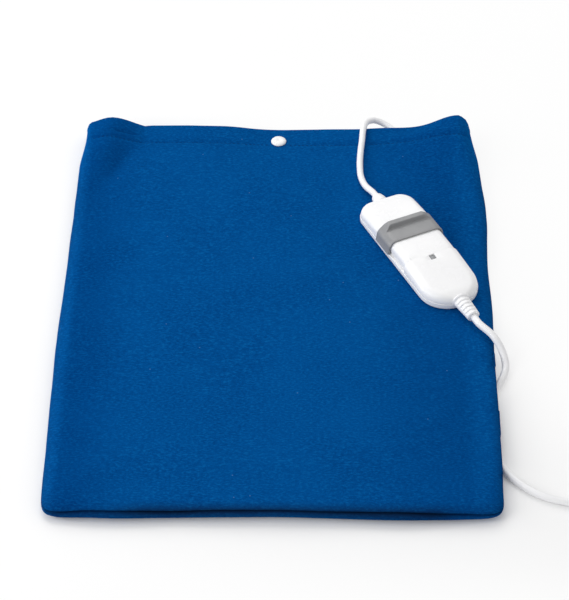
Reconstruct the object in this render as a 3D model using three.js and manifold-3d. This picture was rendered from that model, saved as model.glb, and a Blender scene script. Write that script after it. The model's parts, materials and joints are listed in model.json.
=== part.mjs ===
// A fleece heating pad with a slide controller, lying flat with the cover's press snap closed.
// Millimetres, +Z up. The origin is the middle of the cover's underside, and +Y points to the cover's mouth.
import * as THREE from 'three';
import { mergeVertices } from 'three/addons/utils/BufferGeometryUtils.js';
import Module from 'manifold-3d';

const wasm = await Module();
wasm.setup();

const { smoothstep } = THREE.MathUtils;

// Clearance between pieces that rest on one another or fit into one another
const GAP = 0.3;

// Fleece cover
const COVER_WIDTH = 300;
const COVER_LENGTH = 400;
const COVER_CORNER = 12;
const FLEECE = 2;
const SIDE_BOW = 1.8; // swell of each side at mid length
const MOUTH_DRAW = 3.5; // how far each side draws in at the mouth
const MOUTH_DRAW_LENGTH = 50;
const TOP_ROLL = 24; // width of the upper panel's roll down to the seam
const BOTTOM_ROLL = 10; // width of the lower panel's roll up to the seam
const HEM_WIDTH = 20;
const FOLD_LENGTH = 85; // how far the folds of the mouth run into the cover
const FOLD_LINE = 14; // grid lines before and after a fold starts
const LEFT_FOLD = { inset: 24, rise: 9.5, spread: 22 };
const RIGHT_FOLD = { inset: 18, rise: 14, spread: 21 };
const LEAD_FOLD = { rise: 3, spread: 17 }; // the hem lifts where the pad lead leaves the mouth

// Inner heating pad
const SIDE_BORDER = 22; // cover outline to inner pad
const FRONT_BORDER = 20;
const MOUTH_SETBACK = 42;
const SHEET = 0.7;
const LOWER_WADDING = 2;
const UPPER_WADDING = 1.6;
const WIRE_LAYER = 1.7;
const BINDING = 4;
const WIRE_DIAMETER = 1.3;
const WIRE_ROWS = 9;
const WIRE_EDGE = 12; // binding to the outermost wire
const WIRE_BEND = 5;
const THERMOSTAT = { length: 18, width: 6.5, height: 2.8 };

// Gland that joins the pad lead to the inner pad
// Its inset is from the cover's right side to its middle, and its lead lies a little below its middle
const GLAND = { inset: 56, width: 30, length: 19, height: 6.6, leadDrop: 1 };
const GLAND_TONGUE = { width: 22, length: 14, thickness: 1.1 };
const GLAND_RIVET = { spacing: 20, shank: 2.4, head: 4.4, headHeight: 0.9 };

// Press snap
const SNAP_SETBACK = 16; // mouth edge to the snap's middle
const SNAP_SPREAD = 24;
const SNAP_PINCH = 1; // how far each fleece layer is squeezed
const SNAP_CAP = { diameter: 12.5, height: 1.9, stem: 3.6 };
const SNAP_DISC = { diameter: 10, height: 1.2 };
const SNAP_STUD = { flange: 0.8, knob: 6, knobHeight: 1.2 };
const SNAP_SOCKET = { wall: 1.7, height: 1.5, roof: 0.3 };

// Controller
const CONTROLLER = { fromSide: 73.4, fromMouth: 97, angle: -63.8 }; // place of its rear end
const BODY_LENGTH = 122;
const BODY_WIDTH = 44;
const REAR_RADIUS = 13;
const NOSE_FLAT = 2; // straight part of the nose between its two corners
const FLANGE = 0.5; // how far the lower shell stands out past the upper one
const BASE_HEIGHT = 4.2;
const BASE_FLOOR = 1.8;
const BASE_WALL = 1.8;
const SHELL_WALL = 1.6;
const SHELL_EDGE = 6.5; // rounding of the upper shell's long edges
const REAR_EDGE = { length: 3, drop: 2 }; // rounding of the upper shell's ends
const NOSE_EDGE = { length: 9, drop: 4 };
const DECK_REAR = 9.3;
const DECK_FRONT = 13.4;
const SLIDEWAY_TOP = 14.2;
const NOSE_TOP = 9.5;
const HOOD_FALL = { before: 10, past: 15 }; // where its fall starts before the hood, and ends past the nose
const SADDLE_REAR = 34.5;
const SADDLE_LENGTH = 20;
const SADDLE_WALL = 1.4;
const SADDLE_TRAVEL = 20;
const SADDLE_END_ROOM = 0.8;
const RIB = { width: 28, foot: 35.6, length: 5.6, height: 2.8 };
const TAB = { length: 12, height: 2.4, reach: 2 };
const CARRIAGE_HEIGHT = 3;
const WIPER = { width: 3, length: 12, thickness: 0.4, spacing: 14, height: 1 };
const DETENT = { width: 6, length: 14, thickness: 0.4 };
const BOARD = { width: 27, thickness: 1.6, clearance: 4 }; // clearance to the screw bosses at its ends
const BOARD_EDGE = 2; // board's edge to the parts lying on it
const FUSE = { diameter: 4.2, length: 12 };
const DIODE = { diameter: 3, length: 7 };
const BOARD_POST = { diameter: 4, height: 0.5, inset: 4 };
const WINDOW = { setback: 0.7, length: 5, width: 5 }; // setback from the slideway's end
const LENS_FLANGE = { border: 1.3, thickness: 1 };
const LAMP = { diameter: 4, height: 4.4 };
const SCREW = { rear: 10.5, front: 21, side: 12.5, shank: 2.4, head: 4.6, headHeight: 1.3, length: 7 };
const BOSS_WALL = 1.6;
const BOSS_BASE = 3.3; // height of the lower shell's screw bosses
const REAR_BOOT = { z: 4.9, neck: 4.8, base: 8.6, tip: 6.4, length: 8 };
const MAINS_BOOT = { z: 5.4, neck: 4.8, base: 10.4, tip: 8.4, length: 20, ribs: 5, groove: 0.6 };
const BOOT_FLANGE = { width: 8, height: 5, thickness: 1.6, setback: 3.5 }; // setback from the shell's end

// Leads and plug
const PAD_LEAD = 4.8;
const MAINS_LEAD = 5.2;
const COIL = {
  x: 256, y: -142.5, outer: 44.5, pitch: 6.2, turnsIn: 3.5, turnsOut: 3.25, layer: 5.75, dip: 1,
};
const COIL_TAIL = 36;
const PLUG = { width: 35.3, thickness: 13.7, length: 36, relief: 20, reliefTip: 7.4 };
const PIN = { diameter: 4, length: 19, spacing: 18.6, root: 6 };

// Routes of the leads, as they lie: points chosen by hand between the fittings at their ends
const PAD_ROUTE = [
  [94, 190, 7.1], [88.5, 201, 7.3], [81, 208, 8.8], [73.5, 209, 11.4], [67.3, 203.5, 13.8], [64.6, 194, 14.8],
  [63.4, 180, 14.6], [62, 165, 14.3], [61.3, 150, 14.1], [62, 136, 14.3], [65.2, 124, 15.4],
];
const MAINS_ROUTE = [
  [151.5, -39.5, 14.2], [157.6, -49, 7.6], [159.3, -57.5, 3.4], [157.6, -66, 2.75], [153, -77, 2.75],
  [147, -90, 2.75], [142.6, -104, 2.75], [141.2, -120, 2.75], [143.6, -137, 2.75], [150, -153, 2.75],
  [160.5, -168, 2.75], [175, -180, 2.75], [192, -186, 2.75], [215, -187, 2.75],
];
const DRAPE = { flat: 6.5, foot: 12.5, seamShare: 0.57 }; // fleece over the lead that runs under the border
const DRAPE_LINES = { count: 11, inset: 11, spacing: 12.5 };

// Heights of the flat stack
const lowerSheetZ = FLEECE + GAP;
const lowerWaddingZ = lowerSheetZ + SHEET;
const wireLayerZ = lowerWaddingZ + LOWER_WADDING;
const upperWaddingZ = wireLayerZ + WIRE_LAYER;
const upperSheetZ = upperWaddingZ + UPPER_WADDING;
const innerTopZ = upperSheetZ + SHEET;
const coverTopZ = innerTopZ + GAP + FLEECE;
const seamZ = coverTopZ / 2;
const mouthY = COVER_LENGTH / 2;
const innerWidth = COVER_WIDTH - 2 * SIDE_BORDER;
const innerFront = FRONT_BORDER - mouthY;
const innerBack = mouthY - MOUTH_SETBACK;
const glandX = COVER_WIDTH / 2 - GLAND.inset;

// Materials
const paint = (color, roughness, metalness = 0) => (
  new THREE.MeshStandardMaterial({ color, roughness, metalness })
);
const fleeceBlue = () => paint(0x0f4f96, 0.95);
const whiteShell = () => paint(0xf4f4f6, 0.3);
const greySlider = () => paint(0x8b8d8f, 0.45);
const whiteLead = () => paint(0xefeff0, 0.5);
const paleFelt = () => paint(0xe6e2d8, 0.95);
const spring = () => paint(0xc9a24a, 0.35, 1);
const steel = () => paint(0xb9bcc0, 0.35, 1);

const root = new THREE.Group();

function addPiece(name, geometry, material, parent = root) {
  const mesh = new THREE.Mesh(geometry, material);
  mesh.name = name;
  parent.add(mesh);
  return mesh;
}

// Solid of a closed geometry, with its shared vertices merged and slivers at a lathe's axis dropped
function solidOf(geometry) {
  const bare = geometry.clone();
  bare.deleteAttribute('normal');
  bare.deleteAttribute('uv');
  const merged = mergeVertices(bare, 1e-4);
  const triangles = [];
  for (let i = 0; i < merged.index.count; i += 3) {
    const corner = [merged.index.getX(i), merged.index.getX(i + 1), merged.index.getX(i + 2)];
    if (new Set(corner).size === 3) triangles.push(...corner);
  }
  const vertProperties = new Float32Array(merged.attributes.position.array);
  const triVerts = new Uint32Array(triangles);
  return new wasm.Manifold(new wasm.Mesh({ numProp: 3, vertProperties, triVerts }));
}

function geometryOf(solid) {
  const mesh = solid.getMesh();
  const geometry = new THREE.BufferGeometry();
  geometry.setAttribute('position', new THREE.BufferAttribute(new Float32Array(mesh.vertProperties), 3));
  geometry.setIndex(new THREE.BufferAttribute(new Uint32Array(mesh.triVerts), 1));
  return geometry;
}

function combine(base, { joins = [], cuts = [] }) {
  let solid = solidOf(base);
  for (const geometry of joins) solid = solid.add(solidOf(geometry));
  for (const geometry of cuts) solid = solid.subtract(solidOf(geometry));
  return geometryOf(solid);
}

function meshOf(points, triangles) {
  const geometry = new THREE.BufferGeometry();
  geometry.setAttribute('position', new THREE.Float32BufferAttribute(points.flat(), 3));
  geometry.setIndex(triangles);
  return geometry;
}

// Box between two corners
function box(x0, x1, y0, y1, z0, z1) {
  const geometry = new THREE.BoxGeometry(x1 - x0, y1 - y0, z1 - z0);
  return geometry.translate((x0 + x1) / 2, (y0 + y1) / 2, (z0 + z1) / 2);
}

// Profile of [radius, height] points turned about +Z
function turned(profile, segments = 24) {
  const points = profile.map(([radius, height]) => new THREE.Vector2(radius, height));
  return new THREE.LatheGeometry(points, segments).rotateX(Math.PI / 2);
}

function rod(diameter, z0, z1, segments = 16) {
  return turned([[0, z0], [diameter / 2, z0], [diameter / 2, z1], [0, z1]], segments);
}

// Turns a piece made along +Z so that it lies along +X
const alongX = (geometry) => geometry.rotateY(Math.PI / 2);

// Flat profile of [a, b] points, thick along the third axis
function slab(points, thickness) {
  const shape = new THREE.Shape(points.map(([a, b]) => new THREE.Vector2(a, b)));
  return new THREE.ExtrudeGeometry(shape, { depth: thickness, bevelEnabled: false, curveSegments: 8 });
}

// Profile in X and Z, centred across Y
function slabAcross(points, width) {
  return slab(points, width).rotateX(Math.PI / 2).translate(0, width / 2, 0);
}

// Closed sheet between an upper and a lower grid of points, each a function of line numbers.
// The faces of its rim are all split from the outer edge back to the inner edge
function sheet(columns, rows, upper, lower, outerIsUpper = true) {
  const points = [];
  const triangles = [];
  const across = columns + 1;
  const layer = across * (rows + 1);
  for (const side of [upper, lower]) {
    for (let j = 0; j <= rows; j += 1) {
      for (let i = 0; i <= columns; i += 1) points.push(side(i, j));
    }
  }
  for (let j = 0; j < rows; j += 1) {
    for (let i = 0; i < columns; i += 1) {
      const a = j * across + i;
      const [b, c, d] = [a + 1, a + across + 1, a + across];
      triangles.push(a, b, c, a, c, d);
      triangles.push(layer + a, layer + c, layer + b, layer + a, layer + d, layer + c);
    }
  }
  const rim = [];
  for (let i = 0; i < columns; i += 1) rim.push(i);
  for (let j = 0; j < rows; j += 1) rim.push(j * across + columns);
  for (let i = columns; i > 0; i -= 1) rim.push(rows * across + i);
  for (let j = rows; j > 0; j -= 1) rim.push(j * across);
  rim.forEach((p, k) => {
    const q = rim[(k + 1) % rim.length];
    if (outerIsUpper) triangles.push(layer + p, layer + q, p, layer + q, q, p);
    else triangles.push(layer + p, layer + q, q, layer + p, q, p);
  });
  return meshOf(points, triangles);
}

// Closed body through rings of equal point count, each ring running the same way round
function loft(rings) {
  const count = rings[0].length;
  const triangles = [];
  for (let k = 0; k + 1 < rings.length; k += 1) {
    for (let i = 0; i < count; i += 1) {
      const a = k * count + i;
      const b = k * count + ((i + 1) % count);
      triangles.push(a, b, b + count, a, b + count, a + count);
    }
  }
  const last = (rings.length - 1) * count;
  for (let i = 1; i + 1 < count; i += 1) {
    triangles.push(0, i + 1, i);
    triangles.push(last, last + i, last + i + 1);
  }
  return meshOf(rings.flat(), triangles);
}

// Round tube through points that never run straight up
function windTube(path, diameter, sides) {
  const up = new THREE.Vector3(0, 0, 1);
  const rings = path.map((point, k) => {
    const ahead = path[Math.min(k + 1, path.length - 1)];
    const behind = path[Math.max(k - 1, 0)];
    const along = ahead.clone().sub(behind).normalize();
    const across = along.clone().cross(up).normalize();
    const rise = along.clone().cross(across);
    return Array.from({ length: sides }, (_, i) => {
      const turn = (2 * Math.PI * i) / sides;
      const spoke = across.clone().multiplyScalar(Math.cos(turn)).addScaledVector(rise, Math.sin(turn));
      return point.clone().addScaledVector(spoke, diameter / 2).toArray();
    });
  });
  return loft(rings);
}

// Round lead with ten sides along a smooth curve
function leadAlong(curve, diameter, steps) {
  const section = new THREE.Shape().absarc(0, 0, diameter / 2, 0, 2 * Math.PI, false);
  const options = { steps, extrudePath: curve, bevelEnabled: false, curveSegments: 5 };
  return new THREE.ExtrudeGeometry(section, options);
}

// Controller group, set before the leads because their ends follow its boots
const controller = new THREE.Group();
controller.position.set(
  COVER_WIDTH / 2 - CONTROLLER.fromSide, mouthY - CONTROLLER.fromMouth, coverTopZ + GAP,
);
controller.rotation.z = THREE.MathUtils.degToRad(CONTROLLER.angle);
controller.updateMatrixWorld();
root.add(controller);
const onController = (x, y, z) => controller.localToWorld(new THREE.Vector3(x, y, z));
const toVectors = (points) => points.map(([x, y, z]) => new THREE.Vector3(x, y, z));

const glandLeadZ = lowerSheetZ + GLAND.height / 2 + PAD_LEAD / 2 - GLAND.leadDrop;
const glandBack = innerBack + GAP + GLAND.length;
const coilStart = new THREE.Vector3(COIL.x, COIL.y - COIL.outer, MAINS_LEAD / 2 + GAP / 2);
const padLeadCurve = new THREE.CatmullRomCurve3([
  new THREE.Vector3(glandX, glandBack + GAP, glandLeadZ),
  ...toVectors(PAD_ROUTE),
  onController(-REAR_BOOT.length - PAD_LEAD, 0, REAR_BOOT.z),
  onController(-REAR_BOOT.length - GAP, 0, REAR_BOOT.z),
]);
const mainsLeadCurve = new THREE.CatmullRomCurve3([
  onController(BODY_LENGTH + MAINS_BOOT.length + GAP, 0, MAINS_BOOT.z),
  onController(BODY_LENGTH + MAINS_BOOT.length + MAINS_LEAD, 0, MAINS_BOOT.z),
  ...toVectors(MAINS_ROUTE),
  new THREE.Vector3(coilStart.x - 2 * MAINS_LEAD, coilStart.y, coilStart.z),
  new THREE.Vector3(coilStart.x - MAINS_LEAD - GAP, coilStart.y, coilStart.z),
]);

// Cover: shape of the two panels

const halfWidth = (y) => COVER_WIDTH / 2
  + SIDE_BOW * (1 - (y / mouthY) ** 2)
  - MOUTH_DRAW * smoothstep(y, mouthY - MOUTH_DRAW_LENGTH, mouthY);

// Distance in plan from the closed edges, for an outline drawn in by an inset
function edgeDistance(x, y, inset) {
  const side = halfWidth(y) - inset - Math.abs(x);
  const front = y + mouthY - inset;
  const inCorner = side < COVER_CORNER && front < COVER_CORNER;
  const plain = Math.min(side, front);
  const round = COVER_CORNER - Math.hypot(COVER_CORNER - side, COVER_CORNER - front);
  return Math.max(0, inCorner ? round : plain);
}

const rollShape = (distance, roll) => (
  Math.sqrt(1 - (1 - THREE.MathUtils.clamp(distance / roll, 0, 1)) ** 2)
);

// Height of the fleece over the stretch of mains lead that lies on the ground under it
const groundLead = mainsLeadCurve.getSpacedPoints(80).filter((point) => point.z < MAINS_LEAD);
function leadLift(x, y) {
  const reach = Math.min(...groundLead.map((point) => Math.hypot(point.x - x, point.y - y)));
  return (MAINS_LEAD + 2 * GAP) * (1 - smoothstep(reach, DRAPE.flat, DRAPE.foot));
}

const snapY = mouthY - SNAP_SETBACK;
const snapNear = (x, y) => (
  Math.exp(-((x / SNAP_SPREAD) ** 2)) * smoothstep(y, innerBack, mouthY - HEM_WIDTH)
);
const snapGround = SNAP_DISC.height + 1.5 * GAP;
const fleeceAt = (x, y) => FLEECE - SNAP_PINCH * snapNear(x, y);
const snapLock = SNAP_STUD.flange + GAP + SNAP_SOCKET.height;
const snapTop = snapGround + 4 * (FLEECE - SNAP_PINCH) + snapLock + 4 * GAP;

const bump = (x, middle, fold) => fold.rise * Math.exp(-(((x - middle) / fold.spread) ** 2));
function mouthFolds(x, y) {
  const left = bump(x, LEFT_FOLD.inset - COVER_WIDTH / 2, LEFT_FOLD);
  const right = bump(x, COVER_WIDTH / 2 - RIGHT_FOLD.inset, RIGHT_FOLD);
  const lead = bump(x, glandX, LEAD_FOLD);
  return (left + right + lead) * smoothstep(y, mouthY - FOLD_LENGTH, mouthY);
}

const groundAt = (x, y) => Math.max(leadLift(x, y), snapGround * snapNear(x, y));
const seamAt = (x, y) => seamZ + DRAPE.seamShare * leadLift(x, y);
const crownAt = (x, y) => coverTopZ + mouthFolds(x, y) - (coverTopZ - snapTop) * snapNear(x, y);

// Heights of the four fleece surfaces at a place in plan
const surfaces = {
  bottomOuter(x, y) {
    const seam = seamAt(x, y) - GAP / 2;
    return seam - (seam - groundAt(x, y)) * rollShape(edgeDistance(x, y, 0), BOTTOM_ROLL);
  },
  bottomInner(x, y) {
    const seam = seamAt(x, y) - GAP / 2;
    const flat = groundAt(x, y) + fleeceAt(x, y);
    return seam - (seam - flat) * rollShape(edgeDistance(x, y, FLEECE), BOTTOM_ROLL - FLEECE);
  },
  topOuter(x, y) {
    const seam = seamAt(x, y) + GAP / 2;
    return seam + (crownAt(x, y) - seam) * rollShape(edgeDistance(x, y, 0), TOP_ROLL);
  },
  topInner(x, y) {
    const seam = seamAt(x, y) + GAP / 2;
    const flat = crownAt(x, y) - fleeceAt(x, y);
    return seam + (flat - seam) * rollShape(edgeDistance(x, y, FLEECE), TOP_ROLL - FLEECE);
  },
};

// Grid lines: close together at the edges, the mouth, the snap and the draped lead
const share = (from, to, shares) => shares.map((part) => from + (to - from) * part);
const upward = (lines) => lines.sort((a, b) => a - b);
const sideLines = [20, COVER_CORNER, 6.5, 2.5, 0].map((d) => COVER_WIDTH / 2 - d);
const betweenLines = share(SNAP_SPREAD, sideLines[0], [0.25, 0.48, 0.66, 0.83]);
const halfColumns = [9, SNAP_SPREAD, ...betweenLines, ...sideLines];
const columnLines = upward([...halfColumns.map((x) => -x), 0, ...halfColumns]);
const frontLines = [0, 2.5, 6.5, COVER_CORNER].map((d) => d - mouthY);
const drapeLines = Array.from({ length: DRAPE_LINES.count }, (_, k) => (
  COVER_CORNER + DRAPE_LINES.inset + k * DRAPE_LINES.spacing - mouthY
));
const foldLines = [FOLD_LENGTH + FOLD_LINE, FOLD_LENGTH - FOLD_LINE].map((d) => mouthY - d);
const middleLines = share(drapeLines.at(-1), foldLines[0], [0.33, 0.72]);
const hemLines = [HEM_WIDTH, SNAP_SETBACK, 0.7 * SNAP_SETBACK, 0.3 * SNAP_SETBACK, 0].map((d) => mouthY - d);
const mouthLines = [innerBack, (innerBack + hemLines[0]) / 2, ...hemLines];
const rowLines = upward([...frontLines, ...drapeLines, ...middleLines, ...foldLines, ...mouthLines]);

// Place in plan of a grid point: corners rounded, sides bowed, closed edges drawn in by an inset
function planPoint(column, row, inset) {
  const scaleX = (COVER_WIDTH / 2 - inset) / (COVER_WIDTH / 2);
  const scaleY = (COVER_LENGTH - inset) / COVER_LENGTH;
  let x = columnLines[column] * scaleX;
  let y = mouthY - (mouthY - rowLines[row]) * scaleY;
  const cornerX = (COVER_WIDTH / 2 - COVER_CORNER) * scaleX;
  const cornerY = mouthY - (COVER_LENGTH - COVER_CORNER) * scaleY;
  const a = Math.max(0, (Math.abs(x) - cornerX) / (COVER_CORNER * scaleX));
  const b = Math.max(0, (cornerY - y) / (COVER_CORNER * scaleY));
  if (a > 0 && b > 0) {
    x = Math.sign(x) * (cornerX + COVER_CORNER * scaleX * a * Math.sqrt(1 - (b * b) / 2));
    y = cornerY - COVER_CORNER * scaleY * b * Math.sqrt(1 - (a * a) / 2);
  }
  return [x * (halfWidth(y) / (COVER_WIDTH / 2)), y];
}

function panelSide(height, inset) {
  return (column, row) => {
    const [x, y] = planPoint(column, row, inset);
    return [x, y, height(x, y)];
  };
}

// Hole through the fleece for the snap's stem
const stemHole = rod(SNAP_CAP.stem + 2 * GAP, -1, 2 * coverTopZ, 12).translate(0, snapY, 0);

function addPanel(name, upper, lower, outerIsUpper) {
  const cloth = sheet(columnLines.length - 1, rowLines.length - 1, upper, lower, outerIsUpper);
  addPiece(name, combine(cloth, { cuts: [stemHole] }), fleeceBlue());
}

addPanel('cover_top_panel', panelSide(surfaces.topOuter, 0), panelSide(surfaces.topInner, FLEECE), true);
addPanel(
  'cover_bottom_panel', panelSide(surfaces.bottomInner, FLEECE), panelSide(surfaces.bottomOuter, 0), false,
);

// Hem strips turned in at the mouth, one under the upper panel and one on the lower panel
const hemStart = columnLines.findIndex((x) => x >= COVER_CORNER - COVER_WIDTH / 2);
const hemColumns = columnLines.length - 1 - 2 * hemStart;
const hemRow = rowLines.indexOf(hemLines[0]);
const hemRows = rowLines.length - 1 - hemRow;
function addHem(name, upper, lower) {
  const at = (height) => (column, row) => panelSide(height, FLEECE)(column + hemStart, row + hemRow);
  const strip = sheet(hemColumns, hemRows, at(upper), at(lower));
  addPiece(name, combine(strip, { cuts: [stemHole] }), fleeceBlue());
}
const underTop = (x, y) => surfaces.topInner(x, y) - GAP;
const overBottom = (x, y) => surfaces.bottomInner(x, y) + GAP;
addHem('hem_top', underTop, (x, y) => underTop(x, y) - fleeceAt(x, y));
addHem('hem_bottom', (x, y) => overBottom(x, y) + fleeceAt(x, y), overBottom);

// Press snap, from the post's disc under the cover up to the cap on it
function addSnap() {
  const pinched = FLEECE - SNAP_PINCH;
  const stem = SNAP_CAP.stem / 2;
  const discTop = snapGround - GAP;
  const studZ = snapGround + 2 * pinched + 2 * GAP;
  const studTop = studZ + SNAP_STUD.flange;
  const knobTop = studTop + SNAP_STUD.knobHeight;
  const socketZ = studTop + GAP;
  const socketTop = studZ + snapLock;
  const capZ = snapTop + GAP;
  const disc = SNAP_DISC.diameter / 2;
  const knob = SNAP_STUD.knob / 2;
  const cap = SNAP_CAP.diameter / 2;
  const pocket = stem + GAP;
  const profiles = {
    snap_post: [
      [0, discTop - SNAP_DISC.height], [disc - 0.4, discTop - SNAP_DISC.height],
      [disc, discTop - 0.4], [disc, discTop], [stem, discTop],
      [stem, studTop - 2 * GAP], [0, studTop - 2 * GAP],
    ],
    snap_stud: [
      [0, studTop - GAP], [pocket, studTop - GAP], [pocket, studZ], [disc, studZ], [disc, studTop],
      [knob, studTop], [knob, knobTop - 0.4], [knob - 0.4, knobTop], [0, knobTop],
    ],
    snap_socket: [
      [0, socketTop - SNAP_SOCKET.roof], [knob + GAP, socketTop - SNAP_SOCKET.roof], [knob + GAP, socketZ],
      [knob + GAP + SNAP_SOCKET.wall, socketZ], [knob + GAP + SNAP_SOCKET.wall, socketTop], [0, socketTop],
    ],
    snap_cap: [
      [0, socketTop + GAP], [stem, socketTop + GAP], [stem, capZ], [cap - 0.5, capZ], [cap, capZ + 0.5],
      [cap - 0.3, capZ + 0.6 * SNAP_CAP.height], [cap - 1.4, capZ + 0.9 * SNAP_CAP.height],
      [cap - 2.6, capZ + SNAP_CAP.height], [0, capZ + SNAP_CAP.height],
    ],
  };
  for (const [name, profile] of Object.entries(profiles)) {
    addPiece(name, turned(profile).translate(0, snapY, 0), whiteShell());
  }
}
addSnap();

// Inner heating pad

const bedWidth = innerWidth - 2 * (BINDING + GAP);
const bedFront = innerFront + BINDING + GAP;
const bedBack = innerBack - BINDING - GAP;
const bed = (z0, z1) => box(-bedWidth / 2, bedWidth / 2, bedFront, bedBack, z0, z1);

const wireZ = wireLayerZ + WIRE_LAYER / 2;
const wireSide = bedWidth / 2 - WIRE_EDGE;
const rowPitch = (bedBack - bedFront - 2 * WIRE_EDGE - GLAND_TONGUE.length) / WIRE_ROWS;
const rowY = (row) => bedBack - GLAND_TONGUE.length - WIRE_EDGE - row * rowPitch;
const thermostatRows = [2, 6];
const rowRight = wireSide - rowPitch;
const uTurn = rowPitch / 2;
const tongueLeft = glandX - GLAND_TONGUE.width / 2 - GAP;
const tongueMiddle = innerBack - GLAND_TONGUE.length / 2;

// The wire runs from the gland to and fro down the pad, and back up the right side to the gland
function wirePath() {
  const points = [];
  const add = (x, y) => points.push(new THREE.Vector3(x, y, wireZ));
  const bend = (x, y, from, to, radius = uTurn) => {
    for (let k = 0; k <= 4; k += 1) {
      const turn = from + ((to - from) * k) / 4;
      add(x + radius * Math.cos(turn), y + radius * Math.sin(turn));
    }
  };
  const startY = rowY(0);
  add(tongueLeft, tongueMiddle);
  add(tongueLeft - uTurn, tongueMiddle);
  bend(tongueLeft - 2 * uTurn, startY + uTurn, 0, -Math.PI / 2);
  for (let row = 0; row < WIRE_ROWS; row += 1) {
    const leftward = row % 2 === 0;
    const y = rowY(row);
    if (thermostatRows.includes(row)) add(0, y);
    const last = row === WIRE_ROWS - 1;
    if (last) break;
    if (leftward) bend(-rowRight, y - uTurn, Math.PI / 2, (3 * Math.PI) / 2);
    else bend(rowRight, y - uTurn, Math.PI / 2, -Math.PI / 2);
  }
  const endY = rowY(WIRE_ROWS - 1);
  bend(-rowRight, endY - uTurn, Math.PI / 2, (3 * Math.PI) / 2);
  bend(wireSide - uTurn, endY - uTurn, -Math.PI / 2, 0);
  bend(wireSide - WIRE_BEND, tongueMiddle - WIRE_BEND, 0, Math.PI / 2, WIRE_BEND);
  add(glandX + GLAND_TONGUE.width / 2 + GAP, tongueMiddle);
  return points;
}

function addInnerPad() {
  addPiece('inner_lower_sheet', bed(lowerSheetZ, lowerWaddingZ), paleFelt());
  addPiece('lower_wadding', bed(lowerWaddingZ, wireLayerZ), paleFelt());
  addPiece('inner_upper_sheet', bed(upperSheetZ, innerTopZ), paleFelt());

  const half = THERMOSTAT.length / 2;
  const across = THERMOSTAT.width / 2;
  const thermostatZ = wireZ - WIRE_DIAMETER / 2;
  const pockets = thermostatRows.map((row) => box(
    -half - GAP, half + GAP, rowY(row) - across - GAP, rowY(row) + across + GAP,
    upperWaddingZ - 1, upperSheetZ + 1,
  ));
  addPiece('upper_wadding', combine(bed(upperWaddingZ, upperSheetZ), { cuts: pockets }), paleFelt());
  thermostatRows.forEach((row, k) => {
    const y = rowY(row);
    const body = box(-half, half, y - across, y + across, thermostatZ, thermostatZ + THERMOSTAT.height);
    addPiece(`thermostat_${k + 1}`, body, paint(0xd9d2c0, 0.6));
  });

  // The wire in three lengths, with a thermostat between one and the next
  const path = wirePath();
  const stretches = [[]];
  for (const point of path) {
    const atThermostat = point.x === 0;
    const heading = Math.sign(path[path.indexOf(point) - 1]?.x ?? 1);
    if (atThermostat) {
      stretches.at(-1).push(point.clone().setX(heading * (half + GAP)));
      stretches.push([point.clone().setX(-heading * (half + GAP))]);
    } else {
      stretches.at(-1).push(point);
    }
  }
  stretches.forEach((points, k) => {
    addPiece(`heating_wire_${k + 1}`, windTube(points, WIRE_DIAMETER, 6), paint(0xb8442e, 0.6));
  });

  const outer = box(-innerWidth / 2, innerWidth / 2, innerFront, innerBack, lowerSheetZ, innerTopZ);
  const inside = box(
    -bedWidth / 2 - GAP, bedWidth / 2 + GAP, bedFront - GAP, bedBack + GAP, lowerSheetZ - 1, innerTopZ + 1,
  );
  const tongueSlot = box(
    tongueLeft, glandX + GLAND_TONGUE.width / 2 + GAP, innerBack - 2 * BINDING, innerBack + 1,
    wireZ - GLAND_TONGUE.thickness / 2 - GAP, wireZ + GLAND_TONGUE.thickness / 2 + GAP,
  );
  addPiece('edge_binding', combine(outer, { cuts: [inside, tongueSlot] }), paint(0xcfc8b6, 0.9));
}
addInnerPad();

// Gland: two halves riveted over a tongue that is sewn between the layers of the inner pad
function addGland() {
  const [x0, x1] = [glandX - GLAND.width / 2, glandX + GLAND.width / 2];
  const y0 = innerBack + GAP;
  const bottom = lowerSheetZ;
  const top = bottom + GLAND.height;
  const split = bottom + GLAND.height / 2;
  const rivets = [-1, 1].map((side) => glandX + (side * GLAND_RIVET.spacing) / 2);
  const middle = y0 + GLAND.length / 2;
  const shank = GLAND_RIVET.shank / 2;
  const head = GLAND_RIVET.head / 2;
  const tall = GLAND_RIVET.headHeight;
  const holes = rivets.flatMap((x) => [
    rod(GLAND_RIVET.shank + 2 * GAP, bottom - 1, top + 1, 12).translate(x, middle, 0),
    rod(GLAND_RIVET.head + 2 * GAP, bottom - 1, bottom + tall + GAP, 12).translate(x, middle, 0),
    rod(GLAND_RIVET.head + 2 * GAP, top - tall - GAP, top + 1, 12).translate(x, middle, 0),
  ]);
  const tongue = box(
    glandX - GLAND_TONGUE.width / 2, glandX + GLAND_TONGUE.width / 2, innerBack - GLAND_TONGUE.length, y0 + 1,
    wireZ - GLAND_TONGUE.thickness / 2, wireZ + GLAND_TONGUE.thickness / 2,
  );
  const lower = combine(box(x0, x1, y0, glandBack, bottom, split - GAP / 2), { cuts: holes });
  const step = box(x0 - 1, x1 + 1, y0 - 1, y0 + 1 + GAP, split - 1, wireZ + GLAND_TONGUE.thickness);
  const upperCuts = [...holes, step];
  addPiece('gland_lower', combine(lower, { joins: [tongue] }), paint(0xe9e9ea, 0.5));
  addPiece(
    'gland_upper',
    combine(box(x0, x1, y0, glandBack, split + GAP / 2, top), { cuts: upperCuts }),
    paint(0xe9e9ea, 0.5),
  );
  rivets.forEach((x, k) => {
    const profile = [
      [0, bottom + GAP], [head, bottom + GAP], [head, bottom + tall], [shank, bottom + tall],
      [shank, top - tall], [head, top - tall], [head, top - GAP], [0, top - GAP],
    ];
    addPiece(`gland_rivet_${k + 1}`, turned(profile, 12).translate(x, middle, 0), steel());
  });
}
addGland();

// Controller: x runs from the pad lead's end to the mains end, z up from the underside

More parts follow.
